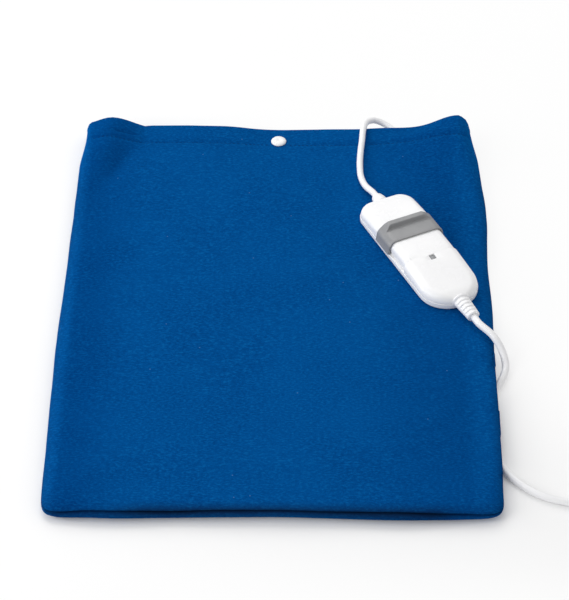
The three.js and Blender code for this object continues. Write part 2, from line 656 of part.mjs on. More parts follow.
const baseHalf = BODY_WIDTH / 2;
const noseRadius = (BODY_WIDTH - NOSE_FLAT) / 2;
const shellHalf = baseHalf - FLANGE;
const shellZ = BASE_HEIGHT + GAP;
const slidewayHalf = shellHalf - SADDLE_WALL - GAP;
const slidewayRear = SADDLE_REAR - SADDLE_END_ROOM;
const slidewayFront = SADDLE_REAR + SADDLE_LENGTH + SADDLE_TRAVEL + SADDLE_END_ROOM;
const roofZ = SLIDEWAY_TOP - SHELL_WALL;
const boardZ = BASE_FLOOR + BOARD_POST.height + GAP;
const boardTop = boardZ + BOARD.thickness;
const tabRear = SADDLE_REAR + (SADDLE_LENGTH - TAB.length) / 2;
const tabZ = shellZ + GAP;
const tabEnd = slidewayHalf - SHELL_WALL - TAB.reach;
const carriageZ = boardTop + GAP + WIPER.height + GAP;
const carriageTop = carriageZ + CARRIAGE_HEIGHT;
const windowX = slidewayFront + WINDOW.setback + WINDOW.length / 2;
const frontScrewX = BODY_LENGTH - SCREW.front;
const baseBoss = SCREW.head + 2 * GAP + 2 * BOSS_WALL;
const boardRear = SCREW.rear + baseBoss / 2 + BOARD.clearance;
const boardFront = frontScrewX - baseBoss / 2 - BOARD.clearance;
const boardSeat = boardTop + GAP;

// Half-width of the rounded outline at a place along it
function planHalf(x, half) {
  const rear = REAR_RADIUS - (baseHalf - half);
  const front = noseRadius - (baseHalf - half);
  const [start, end] = [baseHalf - half, BODY_LENGTH - (baseHalf - half)];
  if (x < start + rear) return half - rear + Math.sqrt(Math.max(0, rear ** 2 - (start + rear - x) ** 2));
  if (x > end - front) return half - front + Math.sqrt(Math.max(0, front ** 2 - (x - end + front) ** 2));
  return half;
}

// Height of the upper shell: a deck rising to the saddle, and a hood falling to the nose
function shellTop(x) {
  if (x <= slidewayRear) {
    const deck = DECK_FRONT - (DECK_FRONT - DECK_REAR) * (1 - x / slidewayRear) ** 1.4;
    return deck - REAR_EDGE.drop * (1 - rollShape(x - FLANGE, REAR_EDGE.length));
  }
  const fall = smoothstep(x, slidewayFront - HOOD_FALL.before, BODY_LENGTH + HOOD_FALL.past);
  const hood = SLIDEWAY_TOP - (SLIDEWAY_TOP - NOSE_TOP) * fall;
  return hood - NOSE_EDGE.drop * (1 - rollShape(BODY_LENGTH - FLANGE - x, NOSE_EDGE.length));
}

// Cross-section of a hood: upright sides, round shoulders, flat top
function archRing(x, half, bottom, top, edge) {
  const round = Math.min(edge, half - 0.2, top - bottom - 0.2);
  const ring = [[x, half, bottom]];
  const steps = 5;
  for (let k = 0; k <= steps; k += 1) {
    const turn = (Math.PI / 2) * (k / steps);
    ring.push([x, half - round + round * Math.cos(turn), top - round + round * Math.sin(turn)]);
  }
  const mirrored = ring.map(([px, py, pz]) => [px, -py, pz]).reverse();
  return [...ring, ...mirrored];
}

const rearStations = share(FLANGE, slidewayRear, [0, 0.018, 0.05, 0.09, 0.15, 0.24, 0.36, 0.6, 1]);
const frontStations = share(
  slidewayFront, BODY_LENGTH - FLANGE, [0, 0.16, 0.34, 0.52, 0.64, 0.74, 0.83, 0.9, 0.945, 0.975, 0.993, 1],
);

function addUpperShell() {
  const outside = (x) => archRing(x, planHalf(x, shellHalf), shellZ, shellTop(x), SHELL_EDGE);
  const slideway = (x) => archRing(x, slidewayHalf, shellZ, SLIDEWAY_TOP, SHELL_EDGE - SADDLE_WALL);
  const below = shellZ - 1;
  const inside = (x) => archRing(
    x, planHalf(x, shellHalf - SHELL_WALL), below, shellTop(x) - SHELL_WALL, SHELL_EDGE - SHELL_WALL,
  );
  const passageEdge = SHELL_EDGE - SADDLE_WALL - SHELL_WALL;
  const passage = (x) => archRing(x, slidewayHalf - SHELL_WALL, below, roofZ, passageEdge);
  const inward = FLANGE + SHELL_WALL;
  const rearRooms = share(inward, slidewayRear - SHELL_WALL, [0, 0.06, 0.16, 0.3, 0.6, 1]);
  const roomStart = slidewayFront + SHELL_WALL;
  const frontRooms = share(roomStart, BODY_LENGTH - inward, [0, 0.3, 0.6, 0.8, 0.92, 0.98, 1]);
  const through = [slidewayRear - SHELL_WALL - GAP, slidewayFront + SHELL_WALL + GAP];
  const shell = combine(loft(rearStations.map(outside)), {
    joins: [loft([slidewayRear, slidewayFront].map(slideway)), loft(frontStations.map(outside))],
    cuts: [loft(rearRooms.map(inside)), loft(through.map(passage)), loft(frontRooms.map(inside))],
  });

  const bossDiameter = SCREW.shank + 2 * GAP + 2 * BOSS_WALL;
  const places = screwPlaces();
  const bosses = places.map(([x, y]) => (
    rod(bossDiameter, BOSS_BASE + GAP, shellTop(x) - SHELL_WALL / 2, 12).translate(x, y, 0)
  ));
  const pilots = places.map(([x, y]) => (
    rod(SCREW.shank + 2 * GAP, BOSS_BASE - 1, screwTop + GAP, 12).translate(x, y, 0)
  ));
  const slots = box(
    tabRear - GAP, tabRear + TAB.length + SADDLE_TRAVEL + GAP, -baseHalf, baseHalf,
    below, tabZ + TAB.height + GAP,
  );
  const [paneX, paneY] = [WINDOW.length / 2 + GAP, WINDOW.width / 2 + GAP];
  const pane = box(windowX - paneX, windowX + paneX, -paneY, paneY, roofZ - SHELL_WALL, SLIDEWAY_TOP + 1);
  const cuts = [...pilots, slots, pane, ...bootHoles()];
  addPiece('controller_top', combine(shell, { joins: bosses, cuts }), whiteShell(), controller);
}

// Holes for the necks of the two boots, through both shells
function bootHoles() {
  const depth = BASE_WALL + FLANGE + SHELL_WALL;
  const rear = alongX(rod(REAR_BOOT.neck + 2 * GAP, -1, depth, 16));
  const front = alongX(rod(MAINS_BOOT.neck + 2 * GAP, BODY_LENGTH - depth, BODY_LENGTH + 1, 16));
  return [rear.translate(0, 0, REAR_BOOT.z), front.translate(0, 0, MAINS_BOOT.z)];
}

const screwTop = SCREW.headHeight + GAP + SCREW.length;
function screwPlaces() {
  return [SCREW.rear, frontScrewX].flatMap((x) => [-1, 1].map((side) => [x, side * SCREW.side]));
}

// Flat outline of the lower shell, drawn in by a wall
function baseOutline(wall) {
  const half = baseHalf - wall;
  const steps = [0, 0.03, 0.1, 0.22, 0.4, 0.65, 1];
  const rear = share(wall, REAR_RADIUS, steps);
  const front = share(BODY_LENGTH - wall, BODY_LENGTH - noseRadius, steps).reverse();
  const rim = [...rear, ...front].map((x) => [x, -planHalf(x, half)]);
  return [...rim, ...rim.map(([x, y]) => [x, -y]).reverse()];
}

function addLowerShell() {
  const block = slab(baseOutline(0), BASE_HEIGHT);
  const hollow = slab(baseOutline(BASE_WALL), BASE_HEIGHT).translate(0, 0, BASE_FLOOR);
  const tray = combine(block, { cuts: [hollow] });
  const places = screwPlaces();
  const bosses = places.map(([x, y]) => rod(baseBoss, BASE_FLOOR / 2, BOSS_BASE, 12).translate(x, y, 0));
  const posts = boardPosts().map(([x, y]) => (
    rod(BOARD_POST.diameter, BASE_FLOOR / 2, BASE_FLOOR + BOARD_POST.height, 8).translate(x, y, 0)
  ));
  const sinks = places.flatMap(([x, y]) => [
    rod(SCREW.head + 2 * GAP, -1, SCREW.headHeight + GAP, 12).translate(x, y, 0),
    rod(SCREW.shank + 2 * GAP, -1, BOSS_BASE + 1, 12).translate(x, y, 0),
  ]);
  const cuts = [...sinks, ...bootHoles()];
  const base = combine(tray, { joins: [...bosses, ...posts], cuts });
  addPiece('controller_base', base, whiteShell(), controller);
}

function boardPosts() {
  const ends = [boardRear + BOARD_POST.inset, boardFront - BOARD_POST.inset];
  return ends.flatMap((x) => [-1, 1].map((side) => [x, side * (BOARD.width / 2 - BOARD_POST.inset)]));
}

function addScrews() {
  screwPlaces().forEach(([x, y], k) => {
    const [shank, head] = [SCREW.shank / 2, SCREW.head / 2];
    const headTop = SCREW.headHeight;
    const profile = [
      [0, GAP], [head, GAP], [head, headTop], [shank, headTop], [shank, screwTop - 1], [0, screwTop],
    ];
    addPiece(`case_screw_${k + 1}`, turned(profile, 12).translate(x, y, 0), steel(), controller);
  });
}

// Saddle: a band over the slideway with a thumb rib, and a tab through the slot in each side
function addSaddle() {
  const [outer, inner] = [shellHalf, slidewayHalf + GAP];
  const innerTop = SLIDEWAY_TOP + GAP;
  const top = innerTop + SADDLE_WALL;
  const skirt = shellZ + GAP / 2;
  const rear = SADDLE_REAR;
  const front = SADDLE_REAR + SADDLE_LENGTH;
  const over = [rear, front].map((x) => archRing(x, outer, skirt, top, SHELL_EDGE));
  const underEdge = SHELL_EDGE - SADDLE_WALL;
  const under = [rear - 1, front + 1].map((x) => archRing(x, inner, skirt - 1, innerTop, underEdge));
  const band = combine(loft(over), { cuts: [loft(under)] });
  const ribZ = top - SADDLE_WALL / 2;
  const ribRing = (along, rise) => {
    const x = rear + along * RIB.length;
    const half = (RIB.foot + (RIB.width - RIB.foot) * rise) / 2;
    const z = ribZ + (RIB.height + SADDLE_WALL / 2) * rise;
    return [[x, RIB.foot / 2, ribZ], [x, half, z], [x, -half, z], [x, -RIB.foot / 2, ribZ]];
  };
  const rib = loft([ribRing(0, 0.85), ribRing(0.12, 1), ribRing(0.84, 1), ribRing(1, 0.05)]);
  const tabs = [-1, 1].map((side) => {
    const ends = [side * tabEnd, side * (outer - SADDLE_WALL / 2)];
    const [low, high] = [Math.min(...ends), Math.max(...ends)];
    return box(tabRear, tabRear + TAB.length, low, high, tabZ, tabZ + TAB.height);
  });
  addPiece('slider_saddle', combine(band, { joins: [rib, ...tabs] }), greySlider(), controller);
}

// Bent leaf: ends on one level, middle raised or lowered
function leaf(part, endZ, middleZ) {
  const half = part.length / 2;
  return slabAcross([
    [-half, endZ], [0, middleZ], [half, endZ], [half, endZ + part.thickness],
    [0, middleZ + part.thickness], [-half, endZ + part.thickness],
  ], part.width);
}

// Contact carriage between the saddle's tabs, with its two wipers below and the detent spring above
function addCarriage() {
  const middle = tabRear + TAB.length / 2;
  const reach = tabEnd - GAP;
  const carriage = box(tabRear, tabRear + TAB.length, -reach, reach, carriageZ, carriageTop);
  addPiece('contact_carriage', carriage, paint(0x2c2c2e, 0.6), controller);
  [-1, 1].forEach((side, k) => {
    const wiper = leaf(WIPER, carriageZ - GAP - WIPER.thickness, boardSeat);
    wiper.translate(middle, (side * WIPER.spacing) / 2, 0);
    addPiece(`wiper_contact_${k + 1}`, wiper, spring(), controller);
  });
  const detent = leaf(DETENT, carriageTop + GAP, roofZ - GAP - DETENT.thickness).translate(middle, 0, 0);
  addPiece('detent_spring', detent, spring(), controller);
}

// Circuit board with the parts that it carries
function addBoard() {
  const half = BOARD.width / 2;
  const board = box(boardRear, boardFront, -half, half, boardZ, boardTop);
  addPiece('circuit_board', board, paint(0x2f6b3c, 0.6), controller);
  const lampRadius = LAMP.diameter / 2;
  const lamp = turned([
    [0, boardSeat], [lampRadius, boardSeat], [lampRadius, boardSeat + 0.6 * LAMP.height],
    [0.7 * lampRadius, boardSeat + 0.9 * LAMP.height], [0, boardSeat + LAMP.height],
  ], 12);
  addPiece('indicator_lamp', lamp.translate(windowX, 0, 0), paint(0xd94a2a, 0.3), controller);
  const addLying = (name, part, side, color) => {
    const body = alongX(rod(part.diameter, -part.length / 2, part.length / 2, 10));
    const x = boardFront - BOARD_EDGE - part.length / 2;
    const y = side * (half - BOARD_EDGE - part.diameter / 2);
    addPiece(name, body.translate(x, y, boardSeat + part.diameter / 2), paint(color, 0.5), controller);
  };
  addLying('fuse_link', FUSE, -1, 0xcbb89a);
  addLying('rectifier_diode', DIODE, 1, 0x2a2a2c);
}

// Light pipe in the hood's window, held by a flange under the roof
function addLens() {
  const [x, y] = [WINDOW.length / 2, WINDOW.width / 2];
  const top = shellTop(windowX + x);
  const bottom = boardSeat + LAMP.height + GAP;
  const { border, thickness } = LENS_FLANGE;
  const flangeTop = Math.min(roofZ, shellTop(windowX + x + border) - SHELL_WALL) - GAP;
  const pipe = box(windowX - x, windowX + x, -y, y, bottom, top);
  const flange = box(
    windowX - x - border, windowX + x + border, -y - border, y + border, flangeTop - thickness, flangeTop,
  );
  addPiece('indicator_lens', combine(pipe, { joins: [flange] }), paint(0xa9abad, 0.35), controller);
}

// Boots of the two leads: a neck through the end wall with a square flange behind it
function bootFlange(x0, x1) {
  const half = BOOT_FLANGE.width / 2;
  const bottom = BASE_FLOOR + GAP;
  return box(x0, x1, -half, half, bottom, bottom + BOOT_FLANGE.height);
}

function addBoots() {
  const depth = BOOT_FLANGE.setback + BOOT_FLANGE.thickness;
  const rearNeck = REAR_BOOT.neck / 2;
  const rearBase = REAR_BOOT.base / 2;
  const rearProfile = [
    [0, -depth], [rearNeck, -depth], [rearNeck, GAP], [rearBase, GAP], [rearBase, 0.45 * REAR_BOOT.length],
    [REAR_BOOT.tip / 2, REAR_BOOT.length], [0, REAR_BOOT.length],
  ];
  const rear = turned(rearProfile, 16).rotateY(-Math.PI / 2).translate(0, 0, REAR_BOOT.z);
  const rearFlange = bootFlange(BOOT_FLANGE.setback, depth);
  addPiece('pad_lead_boot', combine(rear, { joins: [rearFlange] }), whiteShell(), controller);

  const neck = MAINS_BOOT.neck / 2;
  const profile = [[0, -depth], [neck, -depth], [neck, GAP]];
  const pitch = (MAINS_BOOT.length - GAP) / (2 * MAINS_BOOT.ribs + 1);
  const taper = (MAINS_BOOT.tip - MAINS_BOOT.base) / MAINS_BOOT.length;
  const radiusAt = (s) => (MAINS_BOOT.base + taper * s) / 2;
  for (let k = 0; k <= 2 * MAINS_BOOT.ribs; k += 1) {
    const [from, to] = [GAP + k * pitch, GAP + (k + 1) * pitch];
    const groove = k % 2 === 1 ? MAINS_BOOT.groove : 0;
    profile.push([radiusAt(from) - groove, from], [radiusAt(to) - groove, to]);
  }
  profile.push([0, MAINS_BOOT.length]);
  const mains = alongX(turned(profile, 16)).translate(BODY_LENGTH, 0, MAINS_BOOT.z);
  const mainsFlange = bootFlange(BODY_LENGTH - depth, BODY_LENGTH - BOOT_FLANGE.setback);
  addPiece('mains_lead_boot', combine(mains, { joins: [mainsFlange] }), whiteShell(), controller);
}

addLowerShell();
addUpperShell();
addScrews();
addSaddle();
addCarriage();
addBoard();
addLens();
addBoots();

// Leads

addPiece('pad_lead', leadAlong(padLeadCurve, PAD_LEAD, 36), whiteLead());
addPiece('mains_lead', leadAlong(mainsLeadCurve, MAINS_LEAD, 44), whiteLead());

// Coil: in on the lower layer, up in the half turn where the spiral reverses, and out on the upper layer
function coilPath() {
  const points = [];
  const stepsPerTurn = 24;
  const inner = COIL.outer - COIL.pitch * COIL.turnsIn;
  const start = -Math.PI / 2;
  const low = coilStart.z;
  const add = (turns, radius, z) => {
    const angle = start + 2 * Math.PI * turns;
    points.push(new THREE.Vector3(COIL.x + radius * Math.cos(angle), COIL.y + radius * Math.sin(angle), z));
  };
  points.push(coilStart.clone().setX(coilStart.x - MAINS_LEAD));
  for (let k = 0; k <= COIL.turnsIn * stepsPerTurn; k += 1) {
    const turns = k / stepsPerTurn;
    add(turns, COIL.outer - COIL.pitch * turns, low);
  }
  for (let k = 1; k < stepsPerTurn / 2; k += 1) {
    const turns = k / stepsPerTurn;
    const radius = inner - COIL.dip * Math.sin(2 * Math.PI * turns);
    add(COIL.turnsIn + turns, radius, low + COIL.layer * Math.sin(Math.PI * turns));
  }
  for (let k = 0; k <= COIL.turnsOut * stepsPerTurn; k += 1) {
    const turns = k / stepsPerTurn;
    add(COIL.turnsIn + 0.5 + turns, inner + COIL.pitch * turns, low + COIL.layer);
  }
  const end = points.at(-1);
  const plugZ = PLUG.thickness / 2;
  for (const part of [0.2, 0.35, 0.55, 0.7, 0.85, 1]) {
    const z = end.z + (plugZ - end.z) * smoothstep(part, 0.3, 0.85);
    points.push(new THREE.Vector3(end.x, end.y + COIL_TAIL * part, z));
  }
  return points;
}

// Least clear distance of a wound tube to itself, measured between points more than half a turn apart
function leastGap(path, diameter, skip) {
  let least = Infinity;
  for (let i = 0; i < path.length; i += 1) {
    for (let j = i + skip; j < path.length; j += 1) {
      const stretch = new THREE.Line3(path[j - 1], path[j]);
      const nearest = stretch.closestPointToPoint(path[i], true, new THREE.Vector3());
      least = Math.min(least, nearest.distanceTo(path[i]) - diameter);
    }
  }
  return least;
}

const coil = coilPath();
console.log(`coil: least gap to itself ${leastGap(coil, MAINS_LEAD, 12).toFixed(2)} mm`);
addPiece('mains_coil', windTube(coil, MAINS_LEAD, 6), whiteLead());

// Two-pin plug at the end of the coil's tail, lying flat with its pins pointing along +Y
function addPlug() {
  const plug = new THREE.Group();
  const tail = coil.at(-1);
  plug.position.set(tail.x, tail.y + GAP, PLUG.thickness / 2);
  root.add(plug);
  const sections = [
    [0, PLUG.reliefTip, PLUG.reliefTip], [0.9 * PLUG.relief, 1.5 * PLUG.reliefTip, 1.2 * PLUG.reliefTip],
    [PLUG.relief + 0.25 * PLUG.length, 0.72 * PLUG.width, 0.95 * PLUG.thickness],
    [PLUG.relief + 0.5 * PLUG.length, 0.9 * PLUG.width, PLUG.thickness],
    [PLUG.relief + 0.75 * PLUG.length, PLUG.width, PLUG.thickness],
    [PLUG.relief + PLUG.length, PLUG.width, PLUG.thickness],
  ];
  const corners = 20;
  const rings = sections.map(([y, width, thickness]) => Array.from({ length: corners }, (_, i) => {
    const turn = (2 * Math.PI * i) / corners;
    const [c, s] = [Math.cos(turn), Math.sin(turn)];
    const square = 2 / 3;
    const x = (width / 2) * Math.sign(c) * Math.abs(c) ** square;
    const z = (thickness / 2) * Math.sign(s) * Math.abs(s) ** square;
    return [-x, y, z];
  }));
  const front = PLUG.relief + PLUG.length;
  const pinX = [-1, 1].map((side) => (side * PIN.spacing) / 2);
  const alongY = (geometry) => geometry.rotateX(-Math.PI / 2);
  const sockets = pinX.map((x) => {
    const hole = rod(PIN.diameter + 2 * GAP, front - PIN.root, front + 1, 12);
    return alongY(hole).translate(x, 0, 0);
  });
  addPiece('plug_body', combine(loft(rings), { cuts: sockets }), whiteLead(), plug);
  pinX.forEach((x, k) => {
    const radius = PIN.diameter / 2;
    const tip = front + PIN.length;
    const foot = front - PIN.root + GAP;
    const profile = [[0, foot], [radius, foot], [radius, tip - 1.2], [0.5 * radius, tip], [0, tip]];
    addPiece(`plug_pin_${k + 1}`, alongY(turned(profile, 12)).translate(x, 0, 0), steel(), plug);
  });
}
addPlug();

export default root;
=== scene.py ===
# %% [markdown]
# # A heating pad with a slide control
# The object is a flat pad in a blue fleece cover with an open mouth at the far end. A short
# lead comes out of the mouth and runs to a white slide control, and a mains lead goes on
# from the control, under the pad's edge, to a coil and a plug.
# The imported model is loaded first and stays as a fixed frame. Every soft or moulded piece is
# then modelled over it at the same place, with +Z up. Sizes in the cells are in millimetres,
# and MM turns them into Blender's metres.

# %% Load the frame
import json
import math

import bmesh
import bpy
import numpy as np
from mathutils import Matrix, Vector, noise


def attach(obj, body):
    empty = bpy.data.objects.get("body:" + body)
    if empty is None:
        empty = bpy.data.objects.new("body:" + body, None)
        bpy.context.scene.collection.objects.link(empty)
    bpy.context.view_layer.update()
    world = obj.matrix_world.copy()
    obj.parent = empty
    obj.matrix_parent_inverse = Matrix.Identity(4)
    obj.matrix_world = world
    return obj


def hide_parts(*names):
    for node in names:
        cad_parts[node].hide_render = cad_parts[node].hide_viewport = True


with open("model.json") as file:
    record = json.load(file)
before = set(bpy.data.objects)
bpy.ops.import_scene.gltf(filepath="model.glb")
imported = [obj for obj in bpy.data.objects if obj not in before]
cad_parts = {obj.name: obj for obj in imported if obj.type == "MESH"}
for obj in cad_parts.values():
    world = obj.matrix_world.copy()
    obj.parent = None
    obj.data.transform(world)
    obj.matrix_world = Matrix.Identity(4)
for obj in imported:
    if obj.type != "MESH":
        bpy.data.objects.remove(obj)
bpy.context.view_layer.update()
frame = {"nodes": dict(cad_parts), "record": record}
bpy.ops.object.select_all(action="DESELECT")
scene = bpy.context.scene
scene.view_settings.view_transform = "Standard"
MM = 0.001

# %% [markdown]
# ## The camera
# The photograph looks down on the pad from its closed end, a little left of square. Its place
# was found by setting the corners of a 300 by 400 mm cover against the picture's corners.
# A long lens keeps the sides nearly parallel, as in the picture.

# %% Camera
LOOK_DOWN, LOOK_LEFT = 0.7275, 0.0085
bpy.ops.object.camera_add(
    location=(0.01707, -1.30167, 1.17105), rotation=(math.pi / 2 - LOOK_DOWN, 0, LOOK_LEFT)
)
camera = bpy.context.object
camera.name = "photo_camera"
camera.data.sensor_fit = "HORIZONTAL"
camera.data.sensor_width = 36
camera.data.lens = 156.13
scene.camera = camera
print("camera looks down at", round(math.degrees(LOOK_DOWN), 1), "degrees")

# %% [markdown]
# ## Where the control lies
# The control lies turned on the pad, so it is easier to model it straight along X and turn
# it afterwards. This helper gives the place on the pad of a point of the control. The two
# axes are the heights at which the leads enter it.

# %% The control's place
CONTROL_TURN = math.radians(-63.8)
CONTROL_PLACE = Vector((76.6, 103, 11.6))
CONTROL_LONG, CONTROL_HALF = 122, 22
REAR_AXIS, MAINS_AXIS = 4.9, 5.4


def on_control(x, y, z):
    turned = Matrix.Rotation(CONTROL_TURN, 3, "Z") @ Vector((x, y, z))
    return turned + CONTROL_PLACE


print("control's rear end at", [round(v, 1) for v in on_control(0, 0, 0)], "mm")

# %% [markdown]
# ## One piece at a time
# Operators act on whatever is selected, so these helpers pick out a single piece, open and
# close it in edit mode, and select its edges or faces by their place.

# %% Helpers for one piece
def new_piece(name, data):
    piece = bpy.data.objects.new(name, data)
    scene.collection.objects.link(piece)
    return piece


def pick(piece):
    bpy.ops.object.select_all(action="DESELECT")
    piece.select_set(True)
    bpy.context.view_layer.objects.active = piece


def open_piece(piece):
    pick(piece)
    bpy.ops.object.mode_set(mode="EDIT")
    bpy.ops.mesh.select_all(action="SELECT")


def close_piece():
    bpy.ops.mesh.select_all(action="SELECT")
    bpy.ops.mesh.normals_make_consistent(inside=False)
    bpy.ops.object.mode_set(mode="OBJECT")


def choose(piece, kind, wanted):
    bpy.ops.mesh.select_mode(type=kind)
    bpy.ops.mesh.select_all(action="DESELECT")
    shape = bmesh.from_edit_mesh(piece.data)
    for element in shape.edges if kind == "EDGE" else shape.faces:
        if wanted(element):
            element.select_set(True)
    shape.select_flush_mode()
    bmesh.update_edit_mesh(piece.data)


def apply_all(piece):
    pick(piece)
    for modifier in list(piece.modifiers):
        bpy.ops.object.modifier_apply(modifier=modifier.name)


def count_faces(piece):
    print(piece.name + ":", len(piece.data.polygons), "faces")


def smooth_faces(piece, degrees):
    pick(piece)
    bpy.ops.object.shade_smooth_by_angle(angle=math.radians(degrees))
    count_faces(piece)


# %% [markdown]
# ## The two leads
# A lead is a fixed length of something flexible, so its line comes first. A few stops along
# the route are joined by a smooth curve that passes through every stop. The same could be
# drawn as a Bezier curve by hand, but the stops are easier to move one by one. The curve gets
# its round section from a bevel and is then converted to a mesh.

# %% A smooth route through stops
def smooth_route(stops, steps=6):
    stops = [Vector(stop) for stop in stops]
    padded = [2 * stops[0] - stops[1], *stops, 2 * stops[-1] - stops[-2]]
    route = []
    for p0, p1, p2, p3 in zip(padded, padded[1:], padded[2:], padded[3:]):
        d0, d1, d2 = (math.sqrt((b - a).length) for a, b in ((p0, p1), (p1, p2), (p2, p3)))
        leave = ((p1 - p0) / d0 - (p2 - p0) / (d0 + d1) + (p2 - p1) / d1) * d1
        arrive = ((p2 - p1) / d1 - (p3 - p1) / (d1 + d2) + (p3 - p2) / d2) * d1
        for k in range(steps):
            t = k / steps
            bend = (2 * p1 - 2 * p2 + leave + arrive) * t**3
            route.append(p1 + leave * t + (3 * p2 - 3 * p1 - 2 * leave - arrive) * t**2 + bend)
    return route + [stops[-1]]


def route_length(route):
    return sum((b - a).length for a, b in zip(route, route[1:])) * MM


def lead_along(name, route, diameter):
    line = bpy.data.curves.new(name, "CURVE")
    line.dimensions = "3D"
    line.bevel_depth = diameter / 2 * MM
    line.bevel_resolution = 5
    line.use_fill_caps = True
    spline = line.splines.new("POLY")
    spline.points.add(len(route) - 1)
    for point, stop in zip(spline.points, route):
        point.co = (*(stop * MM), 1)
    pick(new_piece(name, line))
    bpy.ops.object.convert(target="MESH")
    lead = bpy.context.object
    lead.name = lead.data.name = name
    smooth_faces(lead, 60)
    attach(lead, "pad")
    return lead


# %% [markdown]
# The pad's lead comes out of the gland inside the mouth, climbs over the hem in a loop and
# comes back down the pad to the control's rear boot.

# %% The pad's lead
PAD_LEAD = 4.8
pad_stops = [
    (94, 177.6, 7), (94, 190, 7.1), (88.5, 201, 7.3), (81, 208, 8.8), (73.5, 209, 11.4),
    (67.3, 203.5, 13.8), (64.6, 194, 14.8), (63.4, 180, 14.6), (62, 165, 14.3),
    (61.3, 150, 14.1), (62, 136, 14.3), (65.2, 124, 15.4),
    *[on_control(x, 0, REAR_AXIS) for x in (-12.8, -8.3, -6)],
]
pad_route = smooth_route(pad_stops)
pad_lead = lead_along("pad_lead_jacket", pad_route, PAD_LEAD)
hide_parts("pad_lead")
print("pad lead:", round(route_length(pad_route), 3), "m")

# %% [markdown]
# The mains lead drops over the pad's right edge, runs under its border and comes out near the
# front corner. The rest of its length is wound as for storage: flat turns inwards on the
# table, one climb, and flat turns outwards on top of them, so that both ends are free. The
# outer end sinks a little on its way to the plug.

# %% The mains lead and its coil
MAINS_LEAD, LYING, UPPER_TURNS, PLUG_Z, TO_PLUG = 5.2, 2.75, 8.5, 6.85, 39
COIL_MIDDLE = Vector((256, -142.5, 0))
COIL_OUTER, COIL_PITCH, COIL_INNER, COIL_STEPS = 44.5, 6.2, 22.8, 36
over_edge = [(151.5, -39.5, 14.2), (157.6, -49, 7.6), (159.3, -57.5, 3.4)]
on_table = [
    (157.6, -66), (153, -77), (147, -90), (142.6, -104), (141.2, -120), (143.6, -137), (150, -153),
    (160.5, -168), (175, -180), (192, -186), (215, -187), (245.6, -187), (250.5, -187),
]
mains_stops = [on_control(x, 0, MAINS_AXIS) for x in (139, 142.3, 147.2)] + over_edge
mains_stops += [(x, y, LYING) for x, y in on_table]


def eased(value, low, high):
    share = min(max((value - low) / (high - low), 0), 1)
    return share * share * (3 - 2 * share)


def coil_stop(turns, radius, height):
    angle = 2 * math.pi * turns - math.pi / 2
    return COIL_MIDDLE + Vector((radius * math.cos(angle), radius * math.sin(angle), height))


def turns(count):
    return [k / COIL_STEPS for k in range(count)]


coil_route = [coil_stop(t, COIL_OUTER - COIL_PITCH * t, LYING) for t in turns(126)]
for t in turns(18):
    radius = COIL_INNER - math.sin(2 * math.pi * t)
    climb = (UPPER_TURNS - LYING) * math.sin(math.pi * t)
    coil_route.append(coil_stop(3.5 + t, radius, LYING + climb))
coil_route += [coil_stop(4 + t, COIL_INNER + COIL_PITCH * t, UPPER_TURNS) for t in turns(118)]
coil_end = coil_route[-1].copy()
for k in range(1, 13):
    drop = (UPPER_TURNS - PLUG_Z) * eased(k / 12, 0.3, 0.85)
    coil_route.append(coil_end + Vector((0, TO_PLUG * k / 12, -drop)))
border_route = smooth_route(mains_stops)
mains_route = border_route + coil_route
mains_lead = lead_along("mains_lead_jacket", mains_route, MAINS_LEAD)
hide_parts("mains_lead", "mains_coil")
lead_end = [round(v, 1) for v in mains_route[-1]]
print("mains lead:", round(route_length(mains_route), 3), "m, ends at", lead_end, "mm")

# %% [markdown]
# ## Two ways to a moulded piece
# Housings and plugs change their cross-section from end to end. By hand one would fill a
# circle, extrude it a step, reshape the new ring, and go on. This helper does just that with
# a list of rings, and leaves a closed body.

# %% Extrude a ring from station to station
def extrude_through(name, rings):
    bpy.ops.mesh.primitive_circle_add(vertices=len(rings[0]), radius=MM, fill_type="NGON")
    piece = bpy.context.object
    piece.name = piece.data.name = name
    open_piece(piece)
    bpy.ops.mesh.select_mode(type="VERT")
    for k, ring in enumerate(rings):
        if k:
            bpy.ops.mesh.extrude_region_move()
        shape = bmesh.from_edit_mesh(piece.data)
        face = next(f for f in shape.faces if f.select)
        moving = [loop.vert for loop in face.loops]
        if k:
            start = min(range(len(moving)), key=lambda i: (moving[i].co - first).length)
            moving = moving[start:] + moving[:start]
        for vertex, place in zip(moving, ring):
            vertex.co = Vector(place) * MM
        first = moving[0].co.copy()
        bmesh.update_edit_mesh(piece.data)
    close_piece()
    return piece


# %% [markdown]
# Round pieces such as boots, pins and the snap's cap are turned: a profile of points is spun
# about an axis, as on a lathe.

# %% Spin a profile
def turned_piece(name, profile, origin, axis, steps=40):
    axis = Vector(axis)
    side = axis.orthogonal().normalized()
    origin = Vector(origin)
    points = [(origin + axis * along + side * radius) * MM for radius, along in profile]
    mesh = bpy.data.meshes.new(name)
    mesh.from_pydata(points, [(k, k + 1) for k in range(len(points) - 1)], [])
    piece = new_piece(name, mesh)
    open_piece(piece)
    bpy.ops.mesh.spin(steps=steps, angle=2 * math.pi, center=origin * MM, axis=axis)
    bpy.ops.mesh.select_all(action="SELECT")
    bpy.ops.mesh.remove_doubles(threshold=1e-6)
    close_piece()
    return piece


# %% [markdown]
# ## The fleece cover
# The cover is a bag of two fleece panels, sewn along three sides and turned right side out,
# so its edges are two soft rolls with the seam sunk between them. The mouth at the far end is
# hemmed: the fleece is folded inwards and sewn down 20 mm from the edge. A bag like this can
# be made by cloth simulation from two flat sheets, or shaped directly. Here the panels are
# shaped directly from a grid, so that the mouth's two raised corners fall where they are in
# the picture, and the padding's swell is worked in afterwards.
# The outline comes first. Its two long sides bow out a little, each in its own way, and are
# drawn in towards the mouth.

